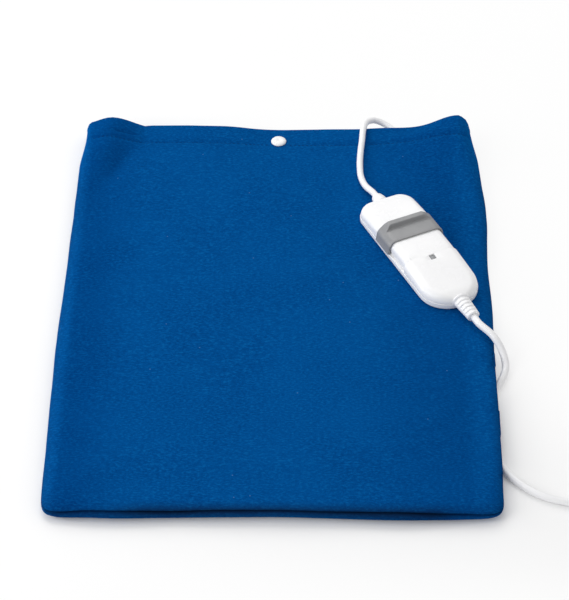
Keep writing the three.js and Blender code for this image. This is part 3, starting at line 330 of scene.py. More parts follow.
# %% The cover's outline
MOUTH, FRONT, ROLL, UNDER_ROLL, CROWN, SEAM = 200, 201.5, 24, 14, 11.3, 5.5


def hump(value, middle, width):
    return math.exp(-(((value - middle) / width) ** 2))


def plateau(value, low, risen, falling, high):
    return eased(value, low, risen) * (1 - eased(value, falling, high))


def ripple(x, y, size, layer):
    return noise.noise(Vector((x / size, y / size, layer)))


def cover_half(y, side):
    bow = 1.8 * (1 - (y / MOUTH) ** 2)
    if side < 0:
        pile = 0.9 * eased(-y, -40, 150) + 0.7 * hump(y, -55, 60) - 0.9 * hump(y, 95, 45)
        drawn_in = 3 * eased(y, 152, 188)
    else:
        pile = 0.5 * eased(-y, 60, 150) + 1.5 * hump(y, -5, 35) + 3.2 * hump(y, 105, 46)
        drawn_in = 3.5 * eased(y, 160, MOUTH)
    return 150 + bow + pile - drawn_in


print("cover is", round(cover_half(0, -1) + cover_half(0, 1), 1), "mm wide at its middle")

# %% [markdown]
# The upper panel's height is the padding's crown with a few things added: the two corners of
# the mouth that stand up, the dip at the snap, the soft swell of the padding, and the hem with
# its sewn groove. Under the control the swell is pressed flat. The lower panel lies on the
# table, except where the mains lead runs under it or the snap draws it up.

# %% Heights of the two panels
STITCH_LINE, SNAP_PLACE, SNAP_DIP = 180, Vector((0, 184, 0)), 9.5
LEFT_CORNER, RIGHT_CORNER = -127, 137
low_lead = np.array([stop[:2] for stop in border_route if stop.z < MAINS_LEAD])


def nearest(line, x, y):
    return np.min(np.hypot(line[:, 0] - x, line[:, 1] - y))


def lead_lift(x, y):
    return 5.8 * (1 - eased(nearest(low_lead, x, y), 6.5, 12.5)) if x > 110 else 0


def near_snap(x, y):
    return hump(x, 0, 24) * eased(y, 158, STITCH_LINE)


def pressed(x, y):
    offset = Vector((x - CONTROL_PLACE.x, y - CONTROL_PLACE.y, 0))
    along, across, _ = Matrix.Rotation(-CONTROL_TURN, 3, "Z") @ offset
    middle = CONTROL_LONG / 2
    beside = max(abs(along - middle) - middle, 0), max(abs(across) - CONTROL_HALF, 0)
    return 1 - eased(math.hypot(*beside), 2, 26)


def mouth_folds(x, y):
    falling = min(max(x - LEFT_CORNER, 0) / 24, 1) ** 1.6
    left = 9.4 * hump(min(x, LEFT_CORNER), LEFT_CORNER, 19) * (1 - falling)
    left += 1.6 * plateau(x, -112, -96, -45, -14)
    left *= eased(y, 110 + 45 * eased(x, -140, -112), MOUTH)
    spread = 34.4 - 13 * eased(y, STITCH_LINE, MOUTH) if x < RIGHT_CORNER else 7.9
    right = 13.2 * hump(x, RIGHT_CORNER, spread) - 1.5 * hump(x, 45, 26)
    return left + right * eased(y, 115, MOUTH)


def soft_valley(x, y):
    return 2.2 * hump(x, -113 - 0.3 * (170 - y), 11) * plateau(y, 60, 150, 165, 178)


def pucker(x, y):
    return 1.8 * hump(y, 185.6 + 0.05 * (x + 128), 1.2) * plateau(x, -131, -125, -112, -104)


def crown(x, y):
    snap = near_snap(x, y)
    swell = 0.9 * ripple(x, y, 75, 3) + 0.4 * ripple(x, y, 28, 7)
    hem = 0.5 * eased(y, STITCH_LINE + 1, STITCH_LINE + 7)
    waves = 0.7 * ripple(x, 0, 31, 11) * eased(y, 168, 196)
    groove = 1.2 * hump(y, STITCH_LINE, 1.5) * eased(147 - abs(x), 0, 5)
    groove += pucker(x, y) + soft_valley(x, y)
    soft = (swell + hem + waves) * (1 - max(pressed(x, y), snap))
    return CROWN + mouth_folds(x, y) + soft - groove * (1 - snap) - (CROWN - SNAP_DIP) * snap


def ground(x, y):
    return max(lead_lift(x, y), 1.65 * near_snap(x, y))


def seam_height(x, y):
    raised = 2.5 - hump(x, -62, 16) + 1.3 * hump(x, -5, 45) - 1.4 * eased(x, 75, 125)
    raised += 0.8 * ripple(x, 0, 38, 17)
    at_front = (1 - eased(y, -192, -160)) * eased(150 - abs(x), 4, 34)
    return SEAM + raised * at_front + 0.57 * lead_lift(x, y)


# %% [markdown]
# Each grid point of a panel is set by its distance from the sewn edge. Near the edge the roll
# leans out over the seam, so the seam lies in a crease a few millimetres deep. The grid's
# square corners are drawn in to round ones.

# %% The panels' points
EDGE_LINES = [0, 0.8, 1.8, 3.2, 5, 7, 9.5, 12.5, 16, 20, 24]


def cloth_place(column, y):
    share, inset = column
    half = cover_half(y, share)
    x = share * (half - inset)
    in_side = max(ROLL - half + abs(x), 0)
    in_front = max(ROLL - y - FRONT, 0)
    inset = ROLL - max(in_side, in_front)
    if in_side and in_front:
        pull = max(in_side, in_front) / (in_side**6 + in_front**6) ** (1 / 6)
        in_side, in_front = in_side * pull, in_front * pull
        x = math.copysign(half - ROLL + in_side, x)
        y = ROLL - FRONT - in_front
    way = Vector((math.copysign(in_side**3, x), -(in_front**3), 0))
    return x, y, inset, way.normalized()


def rolled_point(place, reach, lip, fullness, height_at, share_at):
    x, y, inset, way = place
    at_front = way.y**2 * (1 - 0.6 * eased(abs(x), 108, 138))
    depth = (1 + 2.5 * at_front) * (1 - 0.7 * eased(y, 120, 190))
    part = min(inset / reach, 1)
    drawn = reach * part**fullness + depth * max(0, 1 - inset / 3.4) ** 2
    out = min(inset, reach) - drawn + lip * eased(inset, 0, 3) * (1 - part) ** 0.6
    seam = seam_height(x, y)
    height = seam + (height_at(x, y) - seam) * share_at(part)
    return Vector((x + way.x * out, y + way.y * out, height))


def upper_point(column, y):
    place = x, y, _, way = cloth_place(column, y)
    reach = ROLL - 17 * eased(y, 135, 192)
    lip = 1.2 * way.y**2 + 0.8 * ripple(x, y, 44, 23)
    return rolled_point(place, reach, lip, 1.8, crown, lambda part: 1 - (1 - part) ** 3)


def lower_point(column, y):
    place = x, y, _, way = cloth_place(column, y)
    front = way.y**2
    sag = 2 * hump(x, -95, 34) + 2.6 * hump(x, 88, 28) - 1.6 * eased(x, 112, 140)
    lip = 0.6 + (2.6 + sag) * front + 1.4 * ripple(x, y, 52, 29)
    lip *= 1 - eased(y, 90, 170)
    full = 1.8 + 1.2 * front
    return rolled_point(place, UNDER_ROLL, lip, full, ground, lambda part: eased(1.25 * part, 0, 1))


# %% [markdown]
# At the mouth each panel turns inwards over a small radius and runs back as the hem's inner
# layer. Both panels share the points of the sewn edge, so merging doubles closes the seam.
# A value on each point holds painted shade, darkest in the seam's crease and along the front
# roll, and the material reads it to darken the colour there.

# %% Build the bag
columns = [(-1, d) for d in EDGE_LINES] + [(k / 42, ROLL) for k in range(-41, 42)]
columns += [(1, d) for d in reversed(EDGE_LINES)]
panel_rows = [d - FRONT for d in EDGE_LINES] + np.linspace(-174.5, 176, 117).tolist()
panel_rows += [177.4, 178.5, 179.3, 180, 180.7, 181.5, 182.6, *range(184, 193)]
panel_rows += [194.4, 196.4, 198.4, MOUTH]
openings = [upper_point(c, MOUTH).z - lower_point(c, MOUTH).z for c in columns]
folds = [min(2.0, max(0.12, 0.2 * opening)) for opening in openings]


def panel_points(point_at, turn_in):
    points = []
    for y in panel_rows:
        points.append([point_at(c, y - f * eased(y, 184, MOUTH)) for c, f in zip(columns, folds)])
    edge = points[-1]
    for k in range(1, 9):
        turn = math.pi * k / 8
        out, down = math.sin(turn), turn_in * (1 - math.cos(turn))
        points.append([last + Vector((0, f * out, f * down)) for last, f in zip(edge, folds)])
    for y in (195, 191, 187, 183):
        inner = [point_at(c, y) + Vector((0, 0, 2 * f * turn_in)) for c, f in zip(columns, folds)]
        points.append([Vector((place.x * 0.992, place.y, place.z)) for place in inner])
    return points


def grid_faces(rows, first, order):
    across = len(columns)
    corners = [first + j * across + i for j in range(rows - 1) for i in range(across - 1)]
    return [(a, a + 1, a + across + 1, a + across)[::order] for a in corners]


# Painted shade: a value on each point, darkest in the seam's crease and fading over the rolls
# beside it, strongest along the front.
def painted_crease_shade(rows, rest, reach, corner):
    shares = []
    for y in panel_rows + [MOUTH] * (len(rows) - len(panel_rows)):
        for across, from_side in columns:
            depth = 0.5
            if y + FRONT < from_side:
                depth = 1 - corner * eased(-across, 0.62, 0.88) - 0.6 * eased(across, 0.8, 1)
            inset = min(from_side, y + FRONT)
            share = (1 - rest) * (1 - eased(inset, 0.4, 3.4))
            share += rest * (1 - eased(inset, 1, reach))
            shares.append(depth * share * (1 - eased(y, 120, 170)))
    return shares


upper_rows = panel_points(upper_point, -1)
lower_rows = panel_points(lower_point, 1)
bag_points = [point * MM for row in upper_rows + lower_rows for point in row]
bag_faces = grid_faces(len(upper_rows), 0, 1)
bag_faces += grid_faces(len(lower_rows), len(upper_rows) * len(columns), -1)
bag_mesh = bpy.data.meshes.new("fleece_cover")
bag_mesh.from_pydata(bag_points, [], bag_faces)
crease = painted_crease_shade(upper_rows, 0.75, 14, 0.8) + painted_crease_shade(lower_rows, 0.5, 22, 0.35)
bag_mesh.attributes.new("crease", "FLOAT", "POINT").data.foreach_set("value", crease)
cover = new_piece("fleece_cover", bag_mesh)
open_piece(cover)
bpy.ops.mesh.remove_doubles(threshold=2e-5)
bpy.ops.object.mode_set(mode="OBJECT")
count_faces(cover)

# %% [markdown]
# The padding pushes the fleece out between the places that hold it: the seams, the hem, the
# snap, the table under it, and the control and lead that lie on it. A short cloth simulation
# with a little pressure inside does this, with those places pinned. The swell is kept under
# two millimetres, because the real pad is nearly flat. Then the fleece gets its thickness.

# %% Swell the padding
SWELL_LIMIT, SWELL_FRAMES, FLEECE_THICKNESS = 1.6 * MM, 20, 0.6 * MM
lying_lead = np.array([stop[:2] for stop in pad_route])


def held(x, y, z):
    from_edge = min(cover_half(y, x) - abs(x), y + FRONT)
    on_lead = 1 - eased(nearest(lying_lead, x, y), 3, 14)
    holds = [pressed(x, y), near_snap(x, y), eased(y, 166, 176), on_lead]
    return max(*holds, 1 - eased(from_edge, 8, 30), 1 - eased(z, 6, 9))


def swell(piece):
    resting = np.array([vertex.co[:] for vertex in piece.data.vertices])
    hold = np.array([held(*place) for place in resting / MM])
    pins = piece.vertex_groups.new(name="held")
    for index, weight in enumerate(hold):
        pins.add([index], float(weight), "REPLACE")
    cloth = piece.modifiers.new("padding swell", "CLOTH")
    cloth.settings.quality = 4
    cloth.settings.vertex_group_mass = pins.name
    cloth.settings.use_pressure = True
    cloth.settings.uniform_pressure_force = 4
    cloth.settings.effector_weights.gravity = 0
    cloth.point_cache.frame_start = 1
    cloth.point_cache.frame_end = SWELL_FRAMES
    for frame_number in range(1, SWELL_FRAMES + 1):
        scene.frame_set(frame_number)
    swollen = piece.evaluated_get(bpy.context.evaluated_depsgraph_get()).data
    moves = np.array([vertex.co[:] for vertex in swollen.vertices]) - resting
    size = np.linalg.norm(moves, axis=1)
    piece.modifiers.remove(cloth)
    piece.vertex_groups.remove(pins)
    scene.frame_set(1)
    moves *= (np.minimum(size, SWELL_LIMIT) / np.maximum(size, 1e-9) * (1 - hold))[:, None]
    for vertex, place in zip(piece.data.vertices, resting + moves):
        vertex.co = place
    return size.max() / MM, np.linalg.norm(moves, axis=1).max() / MM


print("swell before and after its limit, mm:", [round(float(v), 2) for v in swell(cover)])
thickness = cover.modifiers.new("fleece thickness", "SOLIDIFY")
thickness.thickness = FLEECE_THICKNESS
thickness.offset = -1
apply_all(cover)
bpy.ops.object.shade_smooth()
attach(cover, "pad")
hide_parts("cover_top_panel", "cover_bottom_panel", "hem_top", "hem_bottom")
count_faces(cover)

# %% [markdown]
# The hem's seam is a row of single stitches, each sunk into the pile. One stitch is shaped
# from a small ball and copied along the groove.

# %% Hem stitches
STITCH_STEP, STITCH_SUNK, SNAP_CLEAR = 3.1, 0.08, 7
bpy.ops.mesh.primitive_uv_sphere_add(segments=8, ring_count=6, radius=MM)
stitch = bpy.context.object
bpy.ops.transform.resize(value=(1.15, 0.36, 0.3))
bpy.ops.object.transform_apply(location=False, rotation=False, scale=True)


def stitch_place(x):
    half = cover_half(STITCH_LINE, x)
    share = x / (half - ROLL)
    if abs(share) > 1:
        return upper_point((math.copysign(1, x), half - abs(x)), STITCH_LINE), 0
    here, ahead = (upper_point((share * step, ROLL), STITCH_LINE) for step in (1, 1.01))
    slope = math.atan2(ahead.z - here.z, ahead.x - here.x)
    return here, slope if abs(slope) < 1 else 0


stitches = []
for x in np.arange(-139.5, 140, STITCH_STEP).tolist():
    if abs(x) > SNAP_CLEAR:
        here, slope = stitch_place(x)
        sunk = Matrix.Translation((here - Vector((0, 0, STITCH_SUNK))) * MM)
        stitches.append(new_piece("stitch", stitch.data.copy()))
        stitches[-1].data.transform(sunk @ Matrix.Rotation(-slope, 4, "Y"))
bpy.data.meshes.remove(stitch.data)
hem_stitches = stitches[0]
pick(hem_stitches)
for copy in stitches:
    copy.select_set(True)
print("stitches:", len(stitches))
bpy.ops.object.join()
hem_stitches.name = "hem_stitches"
bpy.ops.object.shade_smooth()
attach(hem_stitches, "pad")

# %% [markdown]
# ## The inner pad
# Inside the cover lies the heating pad itself, two felt sheets over wadding with a bound edge.
# Only its bound end can be seen through the mouth. A block with well rounded edges, thinned
# towards the rim, is enough, with the binding as a raised band round it.

# %% Inner pad
bpy.ops.mesh.primitive_cube_add(size=MM, location=(0, -11 * MM, 5.6 * MM))
inner_pad = bpy.context.object
inner_pad.name = inner_pad.data.name = "inner_pad"
bpy.ops.transform.resize(value=(256, 338, 6.4))
bpy.ops.object.transform_apply(location=True, rotation=True, scale=True)
open_piece(inner_pad)
choose(inner_pad, "EDGE", lambda e: abs(e.verts[0].co.z - e.verts[1].co.z) > MM)
bpy.ops.mesh.bevel(offset=10 * MM, segments=6, affect="EDGES")
choose(inner_pad, "FACE", lambda f: abs(f.normal.z) > 0.9)
for inward, sunk in ((7, 0), (1, -0.7), (6, 0.7)):
    bpy.ops.mesh.inset(thickness=inward * MM, depth=sunk * MM)
choose(inner_pad, "EDGE", lambda e: len(e.link_faces) == 2 and e.calc_face_angle() > 1.2)
bpy.ops.mesh.bevel(offset=2.4 * MM, segments=4, affect="EDGES")
close_piece()
smooth_faces(inner_pad, 50)
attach(inner_pad, "pad")
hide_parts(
    "inner_lower_sheet", "lower_wadding", "upper_wadding", "inner_upper_sheet",
    "edge_binding",
)

# %% [markdown]
# ## The snap's cap
# A press snap holds the mouth shut in its middle. Its cap is a shallow white dome with a fine
# rim and a dimple from the moulding gate, turned on a lathe profile.

# %% Snap cap
cap_profile = [
    (0, 11.3), (0.8, 11.35), (1.3, 11.5), (2.2, 11.62), (3.5, 11.57), (4.5, 11.35), (5.2, 11),
    (5.65, 10.5), (5.8, 10.1), (5.75, 9.85), (5.5, 9.7), (3, 9.6), (0, 9.6),
]
snap_dome = turned_piece("snap_dome", cap_profile, SNAP_PLACE, (0, 0, 1))
smooth_faces(snap_dome, 50)
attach(snap_dome, "pad")
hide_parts("snap_cap")

# %% [markdown]
# ## The control's upper shell
# The white shell has a rear deck that rises to the slider, a narrower slideway, and a hood
# that falls to a round nose. It is extruded in one go from ring to ring, where a ring is an
# arch with upright sides and round shoulders. The top runs on unbroken from the slideway to
# the hood, while the slideway's sides stand back.

# %% Cross-sections of the shell
SHELL_FOOT, SHELL_HALF, SHELL_REAR, SHELL_NOSE = 4.5, 21.6, 0.5, 121.5
SLIDE_HALF, SLIDE_REAR, SLIDE_FRONT = 20.3, 33.7, 75.3
REAR_CORNER, NOSE_CORNER = 11, 21


def rounding(along, length):
    share = min(max(along / length, 0), 1)
    return math.sqrt(1 - (1 - share) ** 2)


def plan_half(x, half):
    inset = CONTROL_HALF - half
    for corner, from_end in ((REAR_CORNER, x), (NOSE_CORNER, CONTROL_LONG - x)):
        if from_end < corner:
            radius = corner - inset
            return half - radius + math.sqrt(max(0, radius**2 - (corner - from_end) ** 2))
    return half


def shell_top(x):
    if x <= SLIDE_REAR:
        deck = 13.4 - 3.4 * max(0, 1 - x / SLIDE_REAR) ** 1.4
        return deck - 1.6 * (1 - rounding(x - SHELL_REAR, 2.6))
    hood = 14.2 - 4.7 * eased(x, SLIDE_FRONT - 10, 137)
    return hood - 4 * (1 - rounding(SHELL_NOSE - x, 9))


def mirrored(side):
    return side + [(x, -y, z) for x, y, z in reversed(side)]


def arch_ring(x, half, foot, top, shoulder):
    wide = min(shoulder, half - 0.3)
    high = min(shoulder, top - foot - 0.4)
    side = [(x, half, foot), (x, half, foot + (top - high - foot) * 0.5)]
    for k in range(13):
        turn = math.pi / 2 * k / 12
        side.append((x, half - wide + wide * math.cos(turn), top - high + high * math.sin(turn)))
    side.append((x, (half - wide) * 0.5, top))
    return mirrored(side)


def nose_stations(start, end, count):
    return [start + (end - start) * math.sin(math.pi / 2 * k / count) for k in range(count + 1)]


def shell_ring(x):
    if x <= SLIDE_REAR:
        half, shoulder = plan_half(x, SHELL_HALF), 5
    elif x <= SLIDE_FRONT:
        half, shoulder = SLIDE_HALF, 5.3
    else:
        stood_back = (SHELL_HALF - SLIDE_HALF) * (1 - rounding(x - SLIDE_FRONT - 0.1, 1.2))
        half, shoulder = plan_half(x, SHELL_HALF) - 0.6 * stood_back, 6.5
    return arch_ring(x, half, SHELL_FOOT, shell_top(x), shoulder)


rear_stations = nose_stations(SHELL_REAR, SLIDE_REAR, 26)
shell_stations = [SHELL_REAR + SLIDE_REAR - x for x in reversed(rear_stations)]
shell_stations += np.linspace(SLIDE_REAR + 0.1, SLIDE_FRONT, 13).tolist()
shell_stations += [SLIDE_FRONT + step for step in (0.1, 0.25, 0.5, 0.9, 1.3)]
shell_stations += nose_stations(SLIDE_FRONT, SHELL_NOSE, 40)[1:]
print("shell stations:", len(shell_stations))

# %% [markdown]
# The pocket for the window and the slots in the slideway's sides are cut with the Boolean
# modifier, each from a plain block that is thrown away afterwards. A hair-fine bevel along the
# sharp edges catches the light as moulded plastic does.

# %% Build the upper shell
def block(low, high):
    middle = (Vector(low) + Vector(high)) / 2
    bpy.ops.mesh.primitive_cube_add(size=1, location=middle * MM)
    piece = bpy.context.object
    piece.scale = (Vector(high) - Vector(low)) * MM
    bpy.ops.object.transform_apply(location=True, rotation=True, scale=True)
    return piece


def cut_away(piece, tool):
    cut = piece.modifiers.new("cut", "BOOLEAN")
    cut.object = tool
    cut.solver = "EXACT"
    apply_all(piece)
    bpy.data.meshes.remove(tool.data)


def edge_round(piece, width, degrees, segments=2):
    bevel = piece.modifiers.new("edge round", "BEVEL")
    bevel.width = width * MM
    bevel.segments = segments
    bevel.limit_method = "ANGLE"
    bevel.angle_limit = math.radians(degrees)
    apply_all(piece)


def place_control_piece(piece, degrees):
    smooth_faces(piece, degrees)
    turn = Matrix.Translation(CONTROL_PLACE * MM) @ Matrix.Rotation(CONTROL_TURN, 4, "Z")
    piece.data.transform(turn)
    piece.data.update()


upper_shell = extrude_through("control_upper_shell", [shell_ring(x) for x in shell_stations])
cut_away(upper_shell, block((76.2, -2.3, 9), (81.2, 2.3, 16)))
for near, far in ((-20.9, -17.6), (17.6, 20.9)):
    cut_away(upper_shell, block((36, near, 5), (73.6, far, 5.7)))
edge_round(upper_shell, 0.2, 50)
place_control_piece(upper_shell, 40)
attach(upper_shell, "pad")
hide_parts("controller_top")

# %% [markdown]
# The small window over the lamp is a smoked pane set a little below the shell. A block is
# enough, with its edges rounded.

# %% Window
window = block((76.4, -2.1, 10), (81, 2.1, 13.1))
window.name = window.data.name = "lamp_window"
edge_round(window, 0.4, 30, 3)
place_control_piece(window, 35)
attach(window, "pad")
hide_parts("indicator_lens")

# %% [markdown]
# ## The control's lower shell
# The lower shell is a shallow tray with the same outline and a small step, so a fine parting
# line runs round the control. It is extruded upwards from its outline, and the lowest rings
# round its foot.

# %% Lower shell
def tray_outline(inset, z):
    stations = nose_stations(0, 1, 14)
    xs = [inset + REAR_CORNER * (1 - s) for s in reversed(stations)]
    xs += [CONTROL_LONG - inset + NOSE_CORNER * (s - 1) for s in stations]
    return mirrored([(x, plan_half(x, CONTROL_HALF - inset), z) for x in xs])


tray_steps = ((1.4, 0), (0.6, 0.25), (0.12, 0.9), (0, 1.8), (0, 4.15), (0.2, 4.32))
tray = extrude_through("control_lower_shell", [tray_outline(*step) for step in tray_steps])
place_control_piece(tray, 35)
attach(tray, "pad")
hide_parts("controller_base")

# %% [markdown]
# ## The slider
# The grey slider is a saddle that wraps over the slideway, with a thumb rib across its rear.
# Its ring is an arch outside and a smaller arch inside, extruded over the saddle's length.
# The rib is part of the ring too: the arch's flat top rises at the rear, drops steeply into a
# groove for the thumb and comes back to its level, and the rise dies out on the shoulders.

# %% Slider
SADDLE_FOOT, SADDLE_HALF, SADDLE_TOP, HOLLOW_HALF, HOLLOW_TOP = 4.65, 22.1, 15.5, 20.6, 14.5
RIB_SHAPE = [
    (34.5, 2.2), (34.8, 2.7), (35.3, 3), (36, 3.15), (38.7, 3.15), (39.2, 3), (39.5, 2.6),
    (40, 0.2), (40.2, -0.1), (40.6, -0.25), (41.2, -0.2), (42, -0.05), (43, 0), (54.5, 0),
]


def saddle_side(half, foot, top, shoulder, flare):
    side = [(half + flare, foot), (half + 0.45 * flare, (foot + top - shoulder) / 2)]
    for k in range(25):
        out, up = (shoulder * f(math.pi / 2 * k / 24) for f in (math.cos, math.sin))
        side.append((half - shoulder + out, top - shoulder + up))
    return side + [(y, top) for y in (14.8, 14.3, 13.9, 13.5, 13, 11, 8, 4)]


def saddle_ring(x, shrink):
    foot = SADDLE_FOOT + shrink
    outer = []
    for y, z in saddle_side(SADDLE_HALF - shrink, foot, SADDLE_TOP - shrink, 6.6, 0.9):
        swept = x - 0.55 * max(0, y - 13.6)
        rise = float(np.interp(swept, *zip(*RIB_SHAPE)))
        outer.append((x, y, z + rise * (1 - eased(y, 13.2, 19.6))))
    hollow = saddle_side(HOLLOW_HALF + shrink, foot, HOLLOW_TOP + shrink, 5.4, 0)
    return mirrored(outer) + mirrored([(x, y, z) for y, z in hollow])[::-1]


saddle_stations = [(34.5, 0.35), (34.62, 0.12), (34.9, 0)]
saddle_stations += [(35.2 + 0.2 * k, 0) for k in range(50)]
saddle_stations += [(x, 0) for x in (45.5, 46.5, 48, 50, 52, 53.5)] + [(53.85, 0.14), (54, 0.4)]
slider = extrude_through("slider_thumb_saddle", [saddle_ring(*place) for place in saddle_stations])
place_control_piece(slider, 35)
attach(slider, "slider")
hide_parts("slider_saddle")

# %% [markdown]
# ## The boots
# Each lead leaves the control through a soft boot. The short rear one is a plain taper. The
# mains boot has a flared collar and a row of grooves that let it bend: they are turned all
# round and then filled at the two sides, where a smooth rail runs along the boot, which sits
# twisted a little to the front. Both are turned on the control's own axis, made a little wider
# than they are high, and then placed with it.

# %% Rear boot
rear_profile = [
    (0, 3.4), (2.3, 3.4), (2.3, 0.3), (4.0, 0.25), (4.25, 0.05), (4.3, -0.4), (4.28, -3.2),
    (4.1, -4.1), (3.4, -7.4), (3.15, -7.85), (2.8, -8), (2.2, -7.9), (0, -7.9),
]
rear_boot = turned_piece("rear_boot", rear_profile, (0, 0, REAR_AXIS), (1, 0, 0))
rear_boot.data.transform(Matrix.Diagonal((1, 1.22, 1, 1)))
place_control_piece(rear_boot, 35)
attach(rear_boot, "pad")
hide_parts("pad_lead_boot")

# %% Mains boot
BOOT_START, BOOT_LONG, BOOT_STEPS = 122.3, 19.4, 11
RIB_STEP = BOOT_LONG / BOOT_STEPS
RIB = [(0.15, 0), (0, 0.3), (0, RIB_STEP - 0.3), (0.15, RIB_STEP)]
GROOVE = [(0.6, 0.12), (0.6, RIB_STEP - 0.12)]
rail_side = Vector((0, 1, 0.21)).normalized()


def boot_radius(along):
    return 5.2 - 1.1 * (along - BOOT_START) / BOOT_LONG


mains_profile = [
    (0, 118.5), (2.3, 118.5), (2.3, 121.8), (4.6, 122), (5.5, 122.25), (5.75, 122.9), (5.6, 123.6),
    (5.15, 124.06),
]
for k in range(1, BOOT_STEPS):
    start = BOOT_START + k * RIB_STEP
    radius = boot_radius(start + RIB_STEP / 2)
    mains_profile += [(radius - cut, start + step) for cut, step in (GROOVE if k % 2 else RIB)]
mains_profile += [(3.6, 141.95), (2.8, 142), (2.4, 141.8), (0, 141.8)]
mains_boot = turned_piece("mains_boot", mains_profile, (0, 0, MAINS_AXIS), (1, 0, 0))
for vertex in mains_boot.data.vertices:
    along = vertex.co.x / MM
    on_axis = Vector((along, 0, MAINS_AXIS))
    off_axis = vertex.co / MM - on_axis
    reach = off_axis.length
    if 124.1 < along < 141.6 and reach > 3:
        filled = eased(abs(off_axis.dot(rail_side)) / reach, 0.8, 0.95)
        radius = reach + (boot_radius(along) - reach) * filled
        vertex.co = (on_axis + off_axis.normalized() * radius) * MM
mains_boot.data.transform(Matrix.Diagonal((1, 1.14, 1, 1)))
mains_boot.data.transform(Matrix.Translation(Vector((-2.2, 0, 0.5)) * MM))
place_control_piece(mains_boot, 35)
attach(mains_boot, "pad")
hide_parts("mains_lead_boot")

# %% [markdown]
# ## The plug
# The flat two-pin plug is moulded onto the lead, so its relief flows into the body. It is
# extruded from ring to ring with squarish rings, and its pins are turned, each with an
# insulating sleeve over its inner half.

# %% Plug body
PLUG_X, PLUG_START, PLUG_LONG = 298.95, -106.2, 56


def squarish(steps, power):
    for k in range(steps):
        turn = 2 * math.pi * k / steps
        c, s = math.cos(turn), math.sin(turn)
        yield math.copysign(abs(c) ** power, c), math.copysign(abs(s) ** power, s)


def plug_ring(along, width, thickness, power):
    y = PLUG_START + along
    corners = squarish(48, power)
    return [(PLUG_X + width / 2 * c, y, PLUG_Z + thickness / 2 * s) for c, s in corners]


plug_sections = [(0, 6.4, 6.4, 1), (0.3, 7.2, 7.2, 1)]
for k in range(5):
    for step, grow in ((0, 0), (1.4, 0.1), (1.7, -0.9), (2.8, -0.8)):
        size = 7.4 + 0.45 * k + grow
        plug_sections.append((1.2 + 3.1 * k + step, size, size, 1))
plug_sections += [
    (17.4, 9.8, 9.2, 0.95), (20, 12, 10.2, 0.9), (23, 17, 11.4, 0.84), (26.5, 22.2, 12.4, 0.78),
    (31, 27, 13.1, 0.72), (37, 31.2, 13.6, 0.68), (44, 34.2, 13.7, 0.66), (50, 35.2, 13.7, 0.66),
    (54.6, 35.3, 13.7, 0.66), (55.5, 35, 13.4, 0.66), (55.9, 34.3, 12.8, 0.66),
    (PLUG_LONG, 33.2, 11.8, 0.66),
]
plug = extrude_through("plug_moulding", [plug_ring(*section) for section in plug_sections])
smooth_faces(plug, 40)
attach(plug, "pad")
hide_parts("plug_body")

# %% Pins and sleeves
pin_profile = [
    (0, -5.5), (1.9, -5.5), (1.9, 10), (2, 10.2), (2, 17.2), (1.85, 18), (1.4, 18.7), (0.7, 19),
    (0, 19),
]
sleeve_profile = [(1.95, -1), (2.05, -1), (2.05, 9.6), (1.98, 9.9), (1.92, 9.9), (1.95, -1)]
pin_pieces = []
for number, side in ((1, -9.3), (2, 9.3)):
    root = (PLUG_X + side, PLUG_START + PLUG_LONG, PLUG_Z)
    pin = turned_piece(f"mains_pin_{number}", pin_profile, root, (0, 1, 0), 32)
    smooth_faces(pin, 40)
    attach(pin, "pad")
    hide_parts(f"plug_pin_{number}")
    sleeve = turned_piece(f"pin_sleeve_{number}", sleeve_profile, root, (0, 1, 0), 32)
    smooth_faces(sleeve, 40)
    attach(sleeve, "pad")
    pin_pieces += [pin, sleeve]
print("pins and sleeves:", len(pin_pieces))

# %% [markdown]
# The coil is held by a tie, a narrow strap round all its turns on the side away from the plug.
# Its ring is a rounded oblong, extruded over the strap's width.

# %% Coil tie
TIE_OUT, TIE_UP = (COIL_OUTER + COIL_INNER) / 2, 5.62


def tie_ring(offset, grow):
    ring = []
    for c, s in squarish(40, 0.45):
        z = max(TIE_UP + (6.2 + grow) * s, 0.02)
        ring.append(COIL_MIDDLE + Vector((-TIE_OUT - (9.6 + grow) * c, offset, z)))
    return ring


tie_sections = [(-4, -0.25), (-3.8, 0), (3.8, 0), (4, -0.25)]
tie = extrude_through("coil_tie", [tie_ring(*section) for section in tie_sections])
cut_away(tie, extrude_through("tie_hole", [tie_ring(offset, -0.6) for offset in (-6, 6)]))
smooth_faces(tie, 40)
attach(tie, "pad")

# %% [markdown]
# ## Effects that several finishes share
# A node group is built once and placed in each material with its own values. Three are needed:
# fibres for fleece, felt and thread, a fine moulded grain with faint handling marks for the
# plastics, and drawn lines for metal. All of them read Object coordinates, which are metres
# in the object's own frame, so the patterns stay at their real scale.
# One helper adds any node: an input is either a number to set or another node's output to link.

# %% Node helpers
def add_node(tree, kind, inputs, **settings):
    node = tree.nodes.new("ShaderNode" + kind)
    for label, value in settings.items():
        setattr(node, label, value)
    for label, value in inputs.items():
        socket = node.inputs[label]
        if isinstance(value, bpy.types.NodeSocket):
            tree.links.new(value, socket)
        else:
            socket.default_value = (*value, 1) if socket.type == "RGBA" else value
    return node


def noise_node(tree, vector, scale, detail, roughness=0.55):
    inputs = {"Vector": vector, "Scale": scale, "Detail": detail, "Roughness": roughness}
    return add_node(tree, "TexNoise", inputs).outputs["Fac"]


def math_node(tree, kind, first, second):
    return add_node(tree, "Math", {0: first, 1: second}, operation=kind).outputs[0]


def stretch_node(tree, vector, factors):
    return add_node(tree, "VectorMath", {0: vector, 1: factors}, operation="MULTIPLY").outputs[0]


def range_node(tree, value, low, high, to_low=0, to_high=1):
    labels = ("Value", "From Min", "From Max", "To Min", "To Max")
    inputs = dict(zip(labels, (value, low, high, to_low, to_high)))
    return add_node(tree, "MapRange", inputs, interpolation_type="SMOOTHSTEP").outputs["Result"]


